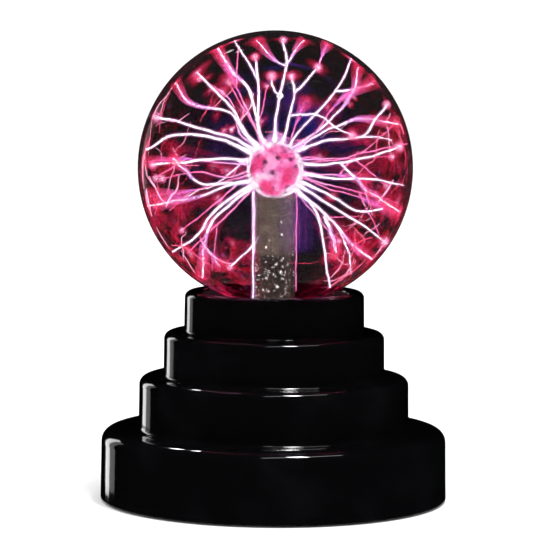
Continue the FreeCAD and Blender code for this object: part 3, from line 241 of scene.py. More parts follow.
def set_stage():
    """White surroundings that gloss sees as dark, and a pale floor."""
    world = bpy.data.worlds.new("studio")
    world.use_nodes = True
    tree = world.node_tree
    tree.nodes.clear()
    kinds = ("LightPath", "Background", "Background", "MixShader", "OutputWorld")
    path, white, dark, pick, out = [tree.nodes.new("ShaderNode" + kind) for kind in kinds]
    white.inputs["Color"].default_value = (1.0, 1.0, 1.0, 1.0)
    white.inputs["Strength"].default_value = 1.12
    dark.inputs["Color"].default_value = (0.0, 0.0, 0.0, 1.0)
    tree.links.new(path.outputs["Is Glossy Ray"], pick.inputs[0])
    tree.links.new(white.outputs[0], pick.inputs[1])
    tree.links.new(dark.outputs[0], pick.inputs[2])
    tree.links.new(pick.outputs[0], out.inputs["Surface"])
    bpy.context.scene.world = world

    finish = Finish("pale_floor")
    cloud = finish.noise(0.09, 4.0)
    floor_look = finish.shade(
        Base_Color=finish.blend(cloud, (0.90, 0.90, 0.90), (0.94, 0.94, 0.94)),
        Roughness=0.7 + cloud * 0.1,
        Specular_IOR_Level=0.0,
    )
    half = 3.0
    corners = [(-half, -half, 0), (half, -half, 0), (half, half, 0), (-half, half, 0)]
    mesh = bpy.data.meshes.new("floor")
    mesh.from_pydata(corners, [], [(0, 1, 2, 3)])
    mesh.materials.append(floor_look)
    floor = add_object("floor", mesh)
    floor.visible_glossy = False

    scene = bpy.context.scene
    scene.view_settings.view_transform = "Standard"
    scene.cycles.transparent_max_bounces = 40
    set_lamp("overhead", (0.185, -0.23, 0.955), 1.2, (0.16, 0.20), 9.0)
    set_lamp("overhead_wide", (0.185, -0.23, 0.955), 1.21, (0.9, 0.06), 1.6)
    set_lamp("rear_left_a", (-0.292, 0.636, 0.715), 1.5, (0.08, 0.08), 1.6)
    set_lamp("rear_left_b", (-0.25, 0.554, 0.793), 1.5, (0.08, 0.08), 1.6)
    set_lamp("left_strip", (-0.616, 0.788, 0.08), 0.8, (0.13, 0.5), 0.52)
    set_lamp("left_strip_soft", (-0.665, 0.745, 0.08), 0.82, (0.30, 0.5), 0.30)


# ---- finishes of the plain parts ----
def moulded_gloss(name, colour):
    """Polished injection-moulded plastic: a deep gloss with handling smudges and faint swirls."""
    finish = Finish(name)
    smudge = finish.noise(0.016, 5.0, warp=0.6).between(0.45, 0.75)
    dust = finish.cells(0.0011).between(0.10, 0.02)
    ripple = finish.noise(0.006, 2.0)
    brighter = tuple(part * 2.2 + 0.001 for part in colour)
    return finish.shade(
        Base_Color=finish.blend(smudge * 0.5 + dust * 0.3, colour, brighter),
        Roughness=0.045 + smudge * 0.05 + dust * 0.1,
        Normal=finish.bump(ripple, 0.00004, 0.6),
        Specular_IOR_Level=0.45,
    )


def moulded_satin(name, colour=(0.012, 0.012, 0.013), grain=0.0004):
    """Spark-textured moulded plastic."""
    finish = Finish(name)
    spark = finish.noise(grain, 2.0)
    patch = finish.noise(0.012, 3.0)
    worn = tuple(part * 1.7 + 0.004 for part in colour)
    return finish.shade(
        Base_Color=finish.blend(patch.between(0.35, 0.8), colour, worn),
        Roughness=0.42 + spark * 0.2,
        Normal=finish.bump(spark, 0.00006, 0.7),
        Specular_IOR_Level=0.4,
    )


def rubber(name, colour=(0.018, 0.018, 0.019)):
    finish = Finish(name)
    pores = finish.cells(0.0007)
    cloud = finish.noise(0.006, 4.0)
    chalky = tuple(part * 1.6 + 0.006 for part in colour)
    return finish.shade(
        Base_Color=finish.blend(cloud, colour, chalky),
        Roughness=0.7 + cloud * 0.2,
        Normal=finish.bump(pores, 0.00004, 0.6),
        Specular_IOR_Level=0.3,
    )


def metal(name, colour=(0.62, 0.62, 0.64), rough=0.24, brushed=(1.0, 1.0, 1.0)):
    """Plated or plain metal with fine rolling marks, dulled patches and specks."""
    finish = Finish(name)
    marks = finish.noise(0.0008, 3.0, where=finish.place(brushed))
    dull = finish.noise(0.005, 4.0).between(0.4, 0.75)
    darker = tuple(part * 0.55 for part in colour)
    return finish.shade(
        Base_Color=finish.blend(dull * 0.6 + marks * 0.2, colour, darker),
        Metallic=1.0,
        Roughness=rough + dull * 0.18 + marks * 0.06,
        Normal=finish.bump(marks, 0.00002, 0.5),
    )


def wound_wire(name, colour, pitch=0.0005, axis="Z"):
    """Layers of fine enamelled or taped wire."""
    finish = Finish(name)
    turns = finish.bands(pitch, axis, warp=0.4)
    cloud = finish.noise(0.004, 3.0)
    # shaded darkens the grooves between turns: painted shade, mixed with random cloudy tone
    shaded = tuple(part * 0.35 for part in colour)
    return finish.shade(
        Base_Color=finish.blend(turns * 0.6 + cloud * 0.4, shaded, colour),
        Roughness=0.22 + cloud * 0.2,
        Normal=finish.bump(turns, 0.00008, 0.8),
        Coat_Weight=0.3,
    )


def banded(name, body, bands, length):
    """A small dipped component with paint bands along one axis."""
    finish = Finish(name)
    rings = finish.bands(length, "X").between(0.7, 0.8)
    cloud = finish.noise(0.003, 3.0)
    darker = tuple(part * 0.7 for part in body)
    return finish.shade(
        Base_Color=finish.blend(rings, finish.blend(cloud, body, darker), bands),
        Roughness=0.3 + cloud * 0.2,
        Normal=finish.bump(cloud, 0.00003, 0.5),
    )


def circuit_board_finish(name):
    """Resist-coated board: tracks under the green, drill dots, glass weave."""
    finish = Finish(name)
    tracks = finish.cells(0.0055, feature="DISTANCE_TO_EDGE").between(0.03, 0.05)
    weave = finish.bands(0.0004, "X") * finish.bands(0.0004, "Y")
    cloud = finish.noise(0.008, 3.0)
    under = finish.blend(cloud, (0.012, 0.10, 0.035), (0.02, 0.14, 0.05))
    return finish.shade(
        Base_Color=finish.blend(tracks, (0.035, 0.22, 0.07), under),
        Roughness=0.3 + weave * 0.1,
        Normal=finish.bump(1 - tracks + weave * 0.1, 0.00004, 0.7),
        Coat_Weight=0.25,
    )


def lead_sheath(name, colour):
    """Extruded insulation, slightly scuffed along its length."""
    finish = Finish(name)
    scuff = finish.noise(0.002, 4.0).between(0.5, 0.8)
    darker = tuple(part * 0.6 for part in colour)
    return finish.shade(
        Base_Color=finish.blend(scuff, colour, darker),
        Roughness=0.38 + scuff * 0.25,
        Normal=finish.bump(scuff, 0.00003, 0.4),
    )


# ---- glass ----
def globe_glass():
    """Nearly black, mostly opaque glass, its darkness painted shade for the dark seen through the globe. Its
    skin carries a painted glow: the faint mottled crimson of the light behind it.
    """
    finish = Finish("globe")
    centred = finish.place(shift=tuple(-CENTRE))
    outward = finish.add("VectorMath", {0: centred}, output=1, operation="LENGTH")
    outer = outward > GLOBE_R - GLASS_T / 2
    smear = finish.noise(0.02, 5.0, warp=1.0).between(0.5, 0.8)
    patches = finish.noise(0.011, 4.0, 0.6, warp=1.4).between(0.42, 0.68)
    height = finish.axis(2).between(CENTRE.z + GLOBE_R * 0.5, CENTRE.z - GLOBE_R * 0.3)
    sides = abs(finish.axis(1)).between(GLOBE_R * 0.8, GLOBE_R * 0.3)
    # Painted glow of the plasma behind the glass, strongest at the sides and low down
    painted_plasma_glow = finish.ramp(
        patches * sides * (0.08 + height * 0.92),
        (0.0, (0.0, 0.0, 0.0)),
        (0.45, (0.10, 0.002, 0.012)),
        (1.0, (0.42, 0.012, 0.06)),
    )
    # Near-black colour and high alpha: painted shade for the dark seen through the globe
    return finish.shade(
        Base_Color=finish.blend(smear, (0.0005, 0.0005, 0.0007), (0.002, 0.002, 0.0027)),
        Roughness=0.015 + smear * 0.05,
        Alpha=0.15 + outer * 0.75,
        Emission_Color=painted_plasma_glow,
        Emission_Strength=0.24,
        Specular_IOR_Level=0.005,
    )


def stem_glass():
    """The stem's glass, which spreads the grey of the core across its width and gives that colour off as
    glow: painted light for the core lit by the discharge.
    """
    finish = Finish("glass_stem")
    height = finish.axis(2)
    upper = height.between(FOIL_TOP - FOIL_BLEND, FOIL_TOP)
    below_ball = height.between(BULB_CENTRE.z - BULB_R * 0.85, BULB_CENTRE.z - BULB_R * 0.975)
    streaks = finish.noise(0.0016, 4.0, where=finish.place((1.0, 1.0, 0.05)))
    grime = finish.noise(0.004, 4.0).between(0.4, 0.7)
    shade = finish.ramp(
        streaks * 0.8 + grime * 0.25,
        (0.25, (0.045, 0.034, 0.030)),
        (0.55, (0.13, 0.095, 0.078)),
        (0.9, (0.30, 0.24, 0.21)),
    )
    return finish.shade(
        Base_Color=shade,
        Roughness=0.05 + grime * 0.1,
        Alpha=0.02 + below_ball * (0.08 + upper * 0.30),
        # Painted light: the glass's own colour given off as glow
        Emission_Color=shade,
        Emission_Strength=13.0,
        Specular_IOR_Level=0.5,
    )


def clear_glass(name):
    finish = Finish(name)
    seed = finish.noise(0.003, 4.0).between(0.5, 0.8)
    return finish.shade(
        Base_Color=finish.blend(seed, (0.5, 0.52, 0.54), (0.75, 0.77, 0.8)),
        Roughness=0.03 + seed * 0.05,
        Alpha=0.3,
        Normal=finish.bump(seed, 0.00004, 0.5),
    )


# ---- the light in the globe ----
UNLIT = {"Base_Color": (0.0, 0.0, 0.0), "Roughness": 1.0, "Specular_IOR_Level": 0.0}


def glow(name, alpha_scale, strength, *stops, marks="glow", grain=0.004, grain_low=0.3, grain_high=0.7):
    """Thin luminous gas: see-through, its colour and density set by the glow stored on its points."""
    finish = Finish(name)
    strength_here = finish.marked(marks)
    cloud = finish.noise(grain, 4.0, 0.6, warp=0.6).between(grain_low, grain_high)
    look = finish.ramp(strength_here * (0.65 + cloud * 0.35), *stops)
    return finish.shine(
        **UNLIT,
        Alpha=(strength_here * (0.35 + cloud * 0.65) * alpha_scale).least(1.0),
        Emission_Color=look,
        Emission_Strength=strength,
    )


def streamer_core():
    """The arc itself: white hot near the electrode, lavender and pink towards its ends."""
    finish = Finish("streamer_core")
    heat = finish.marked("glow")
    beads = finish.noise(0.0018, 3.0).between(0.25, 0.75)
    look = finish.ramp(
        heat * (0.75 + beads * 0.25),
        (0.0, (0.50, 0.02, 0.10)),
        (0.22, (0.95, 0.16, 0.42)),
        (0.42, (0.90, 0.55, 0.95)),
        (0.60, (1.0, 0.93, 1.0)),
    )
    return finish.shine(
        **UNLIT,
        Emission_Color=look,
        Emission_Strength=16.0,
    )


def electrode_finish():
    """The frosted ball, lit from inside: hot pink mottles, pale patches and dark specks, with a painted rim
    of pale light where the ball is seen edge-on from the front and back.
    """
    finish = Finish("electrode_glow")
    large = finish.noise(0.0052, 2.0, 0.5)
    fine = finish.noise(0.0020, 3.0, 0.5)
    specks = finish.cells(0.0026).between(0.34, 0.26)
    # Painted rim light: the glow stored on the ball, highest where it is seen edge-on from the front and back
    painted_rim_light = finish.marked("glow")
    base = finish.ramp(
        (large * 0.8 + fine * 0.2).between(0.38, 0.62) * 0.58 + painted_rim_light * 0.8,
        (0.0, (0.70, 0.02, 0.10)),
        (0.20, (0.86, 0.06, 0.22)),
        (0.42, (0.95, 0.17, 0.42)),
        (0.62, (1.0, 0.42, 0.70)),
        (0.85, (1.0, 0.92, 0.98)),
    )
    sparse = finish.noise(0.004, 2.0).between(0.42, 0.50)
    return finish.shine(
        Base_Color=(0.02, 0.0, 0.005),
        Roughness=0.4,
        Emission_Color=finish.blend(specks * sparse * (1 - painted_rim_light), base, (0.10, 0.004, 0.03)),
        Emission_Strength=11.0,
        Normal=finish.bump(fine, 0.0002, 0.5),
    )


def wool_finish():
    """Packed steel wool: grey-brown strands above, crumpled foil with painted glints of bright metal below.
    Its colour is also given off as glow, painted light for the wool lit by the discharge.
    """
    finish = Finish("steel_wool")
    height = finish.axis(2)
    lower = height.between(FOIL_TOP, FOIL_TOP - FOIL_BLEND)
    strands = finish.noise(0.0009, 5.0, 0.7, where=finish.place((1.0, 1.0, 0.10)))
    crumple = finish.noise(0.0021, 5.0, 0.7, warp=1.6)
    # Cells on the crumple turn near white here: painted glints on the foil
    foil = finish.cells(0.0017).between(0.46, 0.12) * crumple.between(0.46, 0.56)
    smooth_part = finish.ramp(
        strands, (0.25, (0.045, 0.036, 0.032)), (0.55, (0.15, 0.115, 0.095)), (0.85, (0.34, 0.28, 0.25))
    )
    foil_with_painted_glints = finish.ramp(
        foil,
        (0.0, (0.014, 0.012, 0.012)),
        (0.22, (0.09, 0.08, 0.07)),
        (0.45, (0.6, 0.57, 0.55)),
        (0.6, (1.0, 0.98, 0.96)),
    )
    look = finish.blend(lower, smooth_part, foil_with_painted_glints)
    # The emission below is painted light: the wool is shown lit by the discharge
    return finish.shade(
        Base_Color=look,
        Metallic=0.7,
        Roughness=0.35,
        Emission_Color=look,
        Emission_Strength=12.0,
        Normal=finish.bump(crumple, 0.0004, 0.8),
    )


def ring_rows(rises, around, value_of):
    """value_of(share, turn) over rises + 1 rings: share runs from 0 to 1, turn once round."""
    turns = [math.tau * j / around for j in range(around)]
    return [[value_of(i / rises, turn) for turn in turns] for i in range(rises + 1)]


class Mould:
    """Gathers the points, faces and glow of one piece."""

    def __init__(self):
        self.points = []
        self.faces = []
        self.glow = []

    def grid(self, rows, glows, closed=True):
        """Joins rows of points, each row a ring or an open strip, into faces."""
        first = len(self.points)
        across = len(rows[0])
        for row, row_glow in zip(rows, glows):
            self.points += row
            self.glow += row_glow
        for i in range(len(rows) - 1):
            for j in range(across if closed else across - 1):
                k = (j + 1) % across
                a, b = first + i * across, first + (i + 1) * across
                self.faces.append((a + j, a + k, b + k, b + j))

    def tube(self, path, radii, glows, sides=7):
        """A tube along a path, with its own radius and glow at each point, closed at both ends."""
        rows = []
        side = None
        for i, point in enumerate(path):
            ahead = path[min(i + 1, len(path) - 1)] - path[max(i - 1, 0)]
            ahead.normalize()
            if side is None:
                side = ahead.orthogonal().normalized()
            side = (side - ahead * side.dot(ahead)).normalized()
            other = ahead.cross(side)
            turn = [math.tau * k / sides for k in range(sides)]
            rows.append([point + (side * math.cos(t) + other * math.sin(t)) * radii[i] for t in turn])
        first = len(self.points)
        self.grid(rows, [[value] * sides for value in glows])
        last = len(self.points) - sides
        self.faces.append(tuple(range(first + sides - 1, first - 1, -1)))
        self.faces.append(tuple(range(last, last + sides)))

    def ball(self, centre, radius, value, across=12, around=16, squeeze=None):
        """A ball, or with squeeze (a direction and a share) one flattened along that direction."""
        rows = []
        for i in range(1, across):
            tilt = math.pi * i / across
            ring = []
            for j in range(around):
                turn = math.tau * j / around
                flat = math.sin(tilt)
                out = Vector((flat * math.cos(turn), flat * math.sin(turn), math.cos(tilt)))
                if squeeze is not None:
                    way, share = squeeze
                    out -= way * (out.dot(way) * (1 - share))
                ring.append(centre + out * radius)
            rows.append(ring)
        first = len(self.points)
        self.grid(rows, [[value] * around for _ in rows])
        poles = [Vector((0, 0, 1)), Vector((0, 0, -1))]
        for pole, start, flip in zip(poles, (first, first + around * (across - 2)), (False, True)):
            if squeeze is not None:
                way, share = squeeze
                pole -= way * (pole.dot(way) * (1 - share))
            tip = len(self.points)
            self.points.append(centre + pole * radius)
            self.glow.append(value)
            for j in range(around):
                pair = (start + (j + 1) % around, start + j)
                self.faces.append((tip, *(pair if flip else pair[::-1])))

    def patch(self, direction, radius, spread, strength):
        """A soft-edged patch of glow lying on a sphere about the globe's centre."""
        rings, around = 7, 22
        out = direction.normalized()
        side = out.orthogonal().normalized()
        other = out.cross(side)
        uneven = ((0.175, 2), (0.105, 3), (0.07, 5))
        lobes = [(size, turns, rng.uniform(0, math.tau)) for size, turns in uneven]

        def point(share, turn):
            reach = 1 + sum(size * math.sin(turns * turn + phase) for size, turns, phase in lobes)
            angle = max(share, 0.02) * reach * spread / radius
            spoke = side * math.cos(turn) + other * math.sin(turn)
            return CENTRE + (out * math.cos(angle) + spoke * math.sin(angle)) * radius

        fade = ring_rows(rings, around, lambda share, turn: strength * (1 - share) ** 1.3)
        self.grid(ring_rows(rings, around, point), fade)

    def join(self, other):
        first = len(self.points)
        self.points += other.points
        self.glow += other.glow
        self.faces += [tuple(index + first for index in face) for face in other.faces]

    def keep_inside(self, radius):
        """Pulls in every point that stands further than radius from the globe's centre."""
        for i, point in enumerate(self.points):
            away = point - CENTRE
            if away.length > radius:
                self.points[i] = CENTRE + away.normalized() * radius

    def piece(self, name, material, slot="globe", stands_for=()):
        if slot == "globe":
            self.keep_inside(SKIN_R)
        mesh = bpy.data.meshes.new(name)
        mesh.from_pydata([tuple(point) for point in self.points], [], self.faces)
        layer = mesh.attributes.new("glow", "FLOAT", "POINT")
        layer.data.foreach_set("value", self.glow)
        mesh.materials.append(material)
        mesh.shade_smooth()
        piece = add_object(name, mesh)
        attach(piece, BODY)
        if stands_for:
            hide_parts(*stands_for)

    def gas(self, name, finish_name, *looks, slot="globe", **grains):
        """The piece in a glow() finish."""
        self.piece(name, glow(finish_name, *looks, **grains), slot)


def any_side(way):
    """A direction square to way, turned at random about it."""
    side = way.orthogonal().normalized()
    side.rotate(Matrix.Rotation(rng.uniform(0, math.tau), 3, way))
    return side


def about_axis(turn, reach, height):
    """The point at a turn, distance and height about the stem's axis."""
    return Vector((math.cos(turn) * reach, math.sin(turn) * reach, height))


def random_vector(low, high):
    return Vector([rng.uniform(low, high) for _ in range(3)])


def smooth_path(corners, wander):
    """A Catmull-Rom curve through the corners, with a small unsteadiness across it."""
    steps = 7
    ends = [corners[0] * 2 - corners[1], *corners, corners[-1] * 2 - corners[-2]]
    path = []
    for a, b, c, d in zip(ends, ends[1:], ends[2:], ends[3:]):
        for step in range(steps):
            t = step / steps
            bend = a * 2 - b * 5 + c * 4 - d
            twist = b * 3 - a - c * 3 + d
            path.append((b * 2 + (c - a) * t + bend * t * t + twist * t ** 3) / 2)
    path.append(corners[-1].copy())
    phase = random_vector(0, 50)
    for i in range(1, len(path) - 1):
        path[i] = path[i] + noise.noise_vector(path[i] * 260 + phase) * wander
    return path


FRONT, REAR = -1, 1
ARC_SLIMNESS = 0.82                        # radius in mm of an arc of width 1


def lead(points, side, root=None):
    """Corners of an arc given as (across, up) in globe radii; it ends on the glass, front or rear."""
    flat = [Vector((a, 0.0, u)) for a, u in points]
    if root is not None:
        start = (root - CENTRE) / GLOBE_R
        flat.insert(0, Vector((start.x, 0.0, start.z)))
        depth = start.y
    else:
        depth = 0.0
    for corner in flat:
        if corner.length > REACH:
            corner.length = REACH
    end = side * math.sqrt(max(REACH ** 2 - flat[-1].length_squared, 0.0))
    lengths = [0.0]
    for a, b in zip(flat, flat[1:]):
        lengths.append(lengths[-1] + (b - a).length)
    corners = []
    for corner, length in zip(flat, lengths):
        share = length / lengths[-1]
        corner.y = depth + (end - depth) * share ** 1.1
        if corner.length > REACH:
            corner.length = REACH
        corners.append(CENTRE + corner * GLOBE_R)
    return corners


class Discharge:
    """Every arc, its soft sheath, its flared end and its mark on the glass."""

    def __init__(self):
        self.cores = Mould()
        self.sheaths = Mould()
        self.flares = Mould()
        self.marks = Mould()
        self.beads = Mould()

    def arc(self, corners, width=0.42, end="bead", heat=0.95, cool=0.62, rooted=True):
        path = smooth_path(corners, wander=0.35 * MM)
        last = len(path) - 1
        radii, heats = [], []
        for i in range(last + 1):
            share = i / last
            swell = 1.0 + (0.8 * max(0.0, 1 - share * 4.0) ** 1.5 if rooted else 0.0)
            pulse = 1 + 0.18 * noise.noise(path[i] * 420)
            radii.append(width * ARC_SLIMNESS * MM * swell * pulse * (1 - 0.3 * share))
            heats.append(heat + (cool - heat) * share ** 1.6)
        self.cores.tube(path, radii, heats)
        wraps = [radius * 1.4 + 0.26 * MM for radius in radii]
        self.sheaths.tube(path, wraps, [(0.9 - 0.5 * i / last) * min(1.0, heat) for i in range(last + 1)])
        tip = path[-1]
        out = (tip - CENTRE).normalized()
        if end == "bead":
            size = rng.uniform(1.2, 1.9) * (0.6 + width)
            for share, value in ((1.0, 0.12), (0.82, 0.2), (0.66, 0.32), (0.48, 0.6), (0.3, 1.0)):
                self.beads.ball(tip - out * 0.3 * MM, size * share * MM, value, 10, 14)
            self.marks.patch(out, GAS_R, rng.uniform(2.6, 3.8) * MM, 0.5)
        elif end == "pad":
            self.marks.patch(out, GAS_R, rng.uniform(3.4, 5.0) * MM, 0.9)
        elif end == "flare":
            start = int(last * (0.62 if rooted else 0.3))
            self.flare(path[start:], width, rng.uniform(1.9, 2.7))
            self.marks.patch(out, GAS_R, rng.uniform(3.2, 4.6) * MM, 0.6)

    def flare(self, path, narrow, wide):
        """A widening trumpet of nested thin walls, violet where it leaves the arc, crimson on the glass."""
        last = len(path) - 1
        for share in (1.0, 0.7, 0.4):
            radii = [(narrow + (wide - narrow) * (i / last) ** 1.2) * MM * share for i in range(last + 1)]
            self.flares.tube(path, radii, [1 - 0.75 * i / last for i in range(last + 1)], 12)


def random_way(low, high):
    """An even direction whose height stays between low and high."""
    up = rng.uniform(low, high)
    turn = rng.uniform(0, math.tau)
    flat = math.sqrt(1 - up * up)
    return Vector((flat * math.cos(turn), flat * math.sin(turn), up))


def main_arcs(discharge):
    """The strong arcs. Each runs from the electrode, or from a root on another arc, to the glass."""

    def run(points, width, end="bead", side=FRONT, root=None, **warmth):
        corners = lead(points, side, root)
        discharge.arc(corners, width, end, rooted=root is None, **warmth)
        return corners

    def spot(across, deep, up):
        return CENTRE + Vector((across, deep, up)) * GLOBE_R

    top = run([(-0.01, 0.20), (0.0, 0.35), (0.03, 0.53), (0.07, 0.75), (0.05, 0.94)], 0.50)
    knot = top[2]
    discharge.cores.ball(knot, 0.95 * MM, 0.9, 12, 16)
    run([(0.13, 0.85), (0.20, 0.93)], 0.34, "flare", root=top[3])
    run([(-0.02, 0.80), (-0.14, 0.93)], 0.30, "flare", root=top[3])
    run([(-0.02, 0.60), (-0.03, 0.69)], 0.40, root=knot)
    run([(0.05, 0.62), (0.07, 0.72)], 0.34, "thin", REAR, root=knot)

    right_top = run([(0.05, 0.19), (0.08, 0.30), (0.13, 0.56), (0.11, 0.69)], 0.45)
    run([(0.22, 0.66), (0.30, 0.75)], 0.40, root=right_top[2])
    run([(0.34, 0.84), (0.38, 0.92)], 0.3, "flare", REAR, root=spot(0.30, -0.3, 0.75), heat=0.35, cool=0.2)
    run([(0.30, 0.40), (0.43, 0.32), (0.54, 0.28)], 0.34, root=spot(0.11, -0.12, 0.39))

    run([(-0.08, 0.18), (-0.12, 0.26), (-0.19, 0.56), (-0.32, 0.71), (-0.42, 0.87)], 0.55, "flare")
    left_top = run([(-0.07, 0.18), (-0.12, 0.28), (-0.13, 0.65), (-0.15, 0.82)], 0.50)
    run([(-0.22, 0.80), (-0.30, 0.92)], 0.36, "pad", REAR, root=left_top[2])
    run([(-0.12, 0.16), (-0.22, 0.26), (-0.32, 0.44), (-0.47, 0.60), (-0.56, 0.70)], 0.48, "pad")
    run([(-0.13, 0.15), (-0.24, 0.27), (-0.34, 0.41), (-0.61, 0.47), (-0.72, 0.62)], 0.44, "flare")
    run([(-0.14, 0.14), (-0.26, 0.30), (-0.19, 0.42), (-0.17, 0.52)], 0.26, "thin", REAR)

    left = run([(-0.16, 0.10), (-0.40, 0.21), (-0.70, 0.25), (-0.93, 0.14)], 0.55, "pad")
    run([(-0.15, 0.13), (-0.30, 0.21), (-0.51, 0.27), (-0.71, 0.33), (-0.88, 0.36)], 0.50, side=REAR)
    run([(-0.18, 0.05), (-0.36, 0.07), (-0.60, 0.06), (-0.88, 0.04)], 0.50)
    run([(-0.17, -0.09), (-0.36, -0.10), (-0.54, -0.09), (-0.64, 0.01), (-0.72, 0.10)], 0.44, "flare")
    run([(-0.17, -0.10), (-0.36, -0.13), (-0.58, -0.21), (-0.92, -0.27)], 0.44, "flare")
    run([(-0.16, -0.12), (-0.33, -0.22), (-0.47, -0.34), (-0.55, -0.47), (-0.74, -0.60)], 0.48, "thin")
    low_left = run(
        [(-0.15, -0.13), (-0.32, -0.25), (-0.46, -0.40), (-0.51, -0.56), (-0.52, -0.78)], 0.46, "flare"
    )
    run([(-0.45, -0.66), (-0.41, -0.76)], 0.32, "flare", REAR, root=low_left[3])
    run([(-0.44, -0.14), (-0.58, -0.20), (-0.68, -0.27)], 0.26, "thin", REAR, root=left[0])

    run([(0.10, 0.16), (0.16, 0.26), (0.45, 0.59), (0.54, 0.80)], 0.42, "pad")
    run([(0.58, 0.58), (0.72, 0.62)], 0.34, "thin", REAR, root=spot(0.43, -0.2, 0.57))
    run([(0.12, 0.14), (0.22, 0.21), (0.40, 0.36), (0.55, 0.56), (0.59, 0.74)], 0.42, "flare")
    right_up = run(
        [(0.15, 0.12), (0.26, 0.17), (0.38, 0.21), (0.62, 0.24), (0.70, 0.34), (0.80, 0.48)], 0.48
    )
    run([(0.74, 0.23), (0.86, 0.19)], 0.32, "thin", REAR, root=right_up[3])
    run([(0.14, 0.13), (0.30, 0.24), (0.44, 0.31), (0.63, 0.36), (0.90, 0.32)], 0.40, "flare", REAR)
    right = run([(0.17, 0.03), (0.32, 0.03), (0.47, 0.05), (0.70, 0.11), (0.89, 0.18)], 0.46)
    run([(0.56, -0.04), (0.64, -0.13), (0.75, -0.20), (0.90, -0.30)], 0.38, "flare", root=right[2])
    run([(0.18, -0.03), (0.32, -0.06), (0.45, -0.08), (0.69, -0.08), (0.94, -0.13)], 0.44, "thin", REAR)
    run([(0.16, -0.09), (0.30, -0.14), (0.43, -0.20), (0.59, -0.28), (0.76, -0.25)], 0.48, "thin")
    run([(0.16, -0.11), (0.40, -0.26), (0.60, -0.38), (0.80, -0.52)], 0.42)
    low_right = run(
        [(0.14, -0.14), (0.28, -0.26), (0.44, -0.40), (0.56, -0.54), (0.70, -0.64)], 0.52, "flare"
    )
    run([(0.13, -0.15), (0.27, -0.26), (0.33, -0.40), (0.36, -0.58), (0.40, -0.84)], 0.46, "thin")
    run([(0.42, -0.50), (0.46, -0.66)], 0.62, "flare", REAR, root=spot(0.36, -0.15, -0.34))
    run([(0.54, -0.60), (0.56, -0.78)], 0.34, "thin", REAR, root=low_right[2])
    run([(-0.16, -0.58), (-0.25, -0.68), (-0.34, -0.77)], 0.36, side=REAR, root=spot(-0.10, 0.18, -0.50))


def all_round_arcs(discharge, count=20):
    """Fainter arcs on every side, mostly behind, often forked near the glass."""
    placed = []
    nearest = 0.965                        # cosine of the smallest angle between two of them
    while len(placed) < count:
        way = random_way(-0.72, 0.9)
        before_stem = way.y < 0.1 and abs(way.x) < 0.45 and way.z < 0.5
        keep_clear = way.y < -0.3 and rng.random() < 0.8
        if before_stem or keep_clear or any(way.dot(other) > nearest for other in placed):
            continue
        placed.append(way)
        side = any_side(way)
        sway = rng.uniform(-0.16, 0.16)
        shares = (0.2, 0.42, 0.68, 1.0)
        bows = (0.0, sway, sway * rng.uniform(-0.6, 1.2), rng.uniform(-0.14, 0.14))
        corners = [
            CENTRE + (way * share + side * bow * share).normalized() * share * GAS_R
            for share, bow in zip(shares, bows)
        ]
        width = rng.uniform(0.20, 0.32)
        end = rng.choice(["bead", "flare", "pad", "thin"])
        discharge.arc(corners, width, end, rng.uniform(0.3, 0.48), rng.uniform(0.1, 0.3))
        if rng.random() < 0.6:
            tip = (corners[-1] - CENTRE).normalized() + side.cross(way) * rng.uniform(0.22, 0.4)
            tip = CENTRE + tip.normalized() * GAS_R
            fork = [corners[2], (corners[2] + tip) / 2, tip]
            width = rng.uniform(0.18, 0.26)
            discharge.arc(fork, width, rng.choice(["bead", "thin"]), 0.32, 0.15, rooted=False)


def blots(discharge):
    """Soft red and pink blots of light on the rear of the glass, given as (across, up, size, strength)."""
    for across, up, size, strength in (
        (-0.53, 0.66, 2.6, 0.55), (-0.50, 0.56, 3.0, 0.75), (-0.48, 0.46, 2.8, 0.6), (-0.46, 0.36, 2.4, 0.45),
        (0.55, 0.49, 2.6, 1.3), (0.60, 0.51, 1.8, 1.2), (0.45, 0.50, 2.4, 0.8), (0.40, 0.43, 2.4, 0.7),
        (-0.48, -0.04, 3.2, 0.7), (-0.38, -0.07, 3.4, 0.8), (-0.28, -0.05, 2.8, 0.7),
        (-0.34, 0.25, 1.9, 1.3), (-0.40, 0.24, 2.2, 0.9), (-0.11, 0.31, 2.2, 0.8), (0.42, 0.27, 2.4, 0.8),
        (-0.45, -0.28, 3.2, 0.8), (-0.33, -0.62, 2.6, 0.7), (-0.60, 0.68, 2.6, 0.8), (0.44, -0.26, 3.0, 0.9),
        (0.42, -0.72, 3.4, 0.8), (0.30, 0.10, 2.4, 0.6), (0.70, 0.18, 3.0, 0.7),
    ):
        flat = Vector((across, 0.0, up))
        flat.y = math.sqrt(1 - flat.length_squared)
        discharge.marks.patch(flat, GAS_R, size * MM, strength)


def creepers(count=95):
    """Fine crooked threads of red and pink that crawl over the inside of the glass."""
    threads = Mould()
    for _ in range(count):
        way = random_way(-0.8, 0.5)
        if abs(way.y) > 0.72 and rng.random() < 0.7 or way.y < 0 and abs(way.x) < 0.4:
            continue
        heading = any_side(way)
        path = []
        for _ in range(rng.randint(7, 14)):
            path.append(CENTRE + way * (GAS_R - 0.25 * MM))
            heading = (heading + way.cross(heading) * rng.uniform(-0.5, 0.5)).normalized()
            way = (way + heading * rng.uniform(0.025, 0.05)).normalized()
            heading = (heading - way * heading.dot(way)).normalized()
        if any(point.y < 0 and abs(point.x) < 0.24 * GLOBE_R for point in path):
            continue
        width = rng.uniform(0.08, 0.20) * MM
        last = len(path) - 1
        radii = [width * (0.35 + math.sin(math.pi * (0.08 + 0.84 * i / last))) for i in range(last + 1)]
        threads.tube(path, radii, [rng.uniform(0.05, 0.75)] * (last + 1), 5)
    return threads


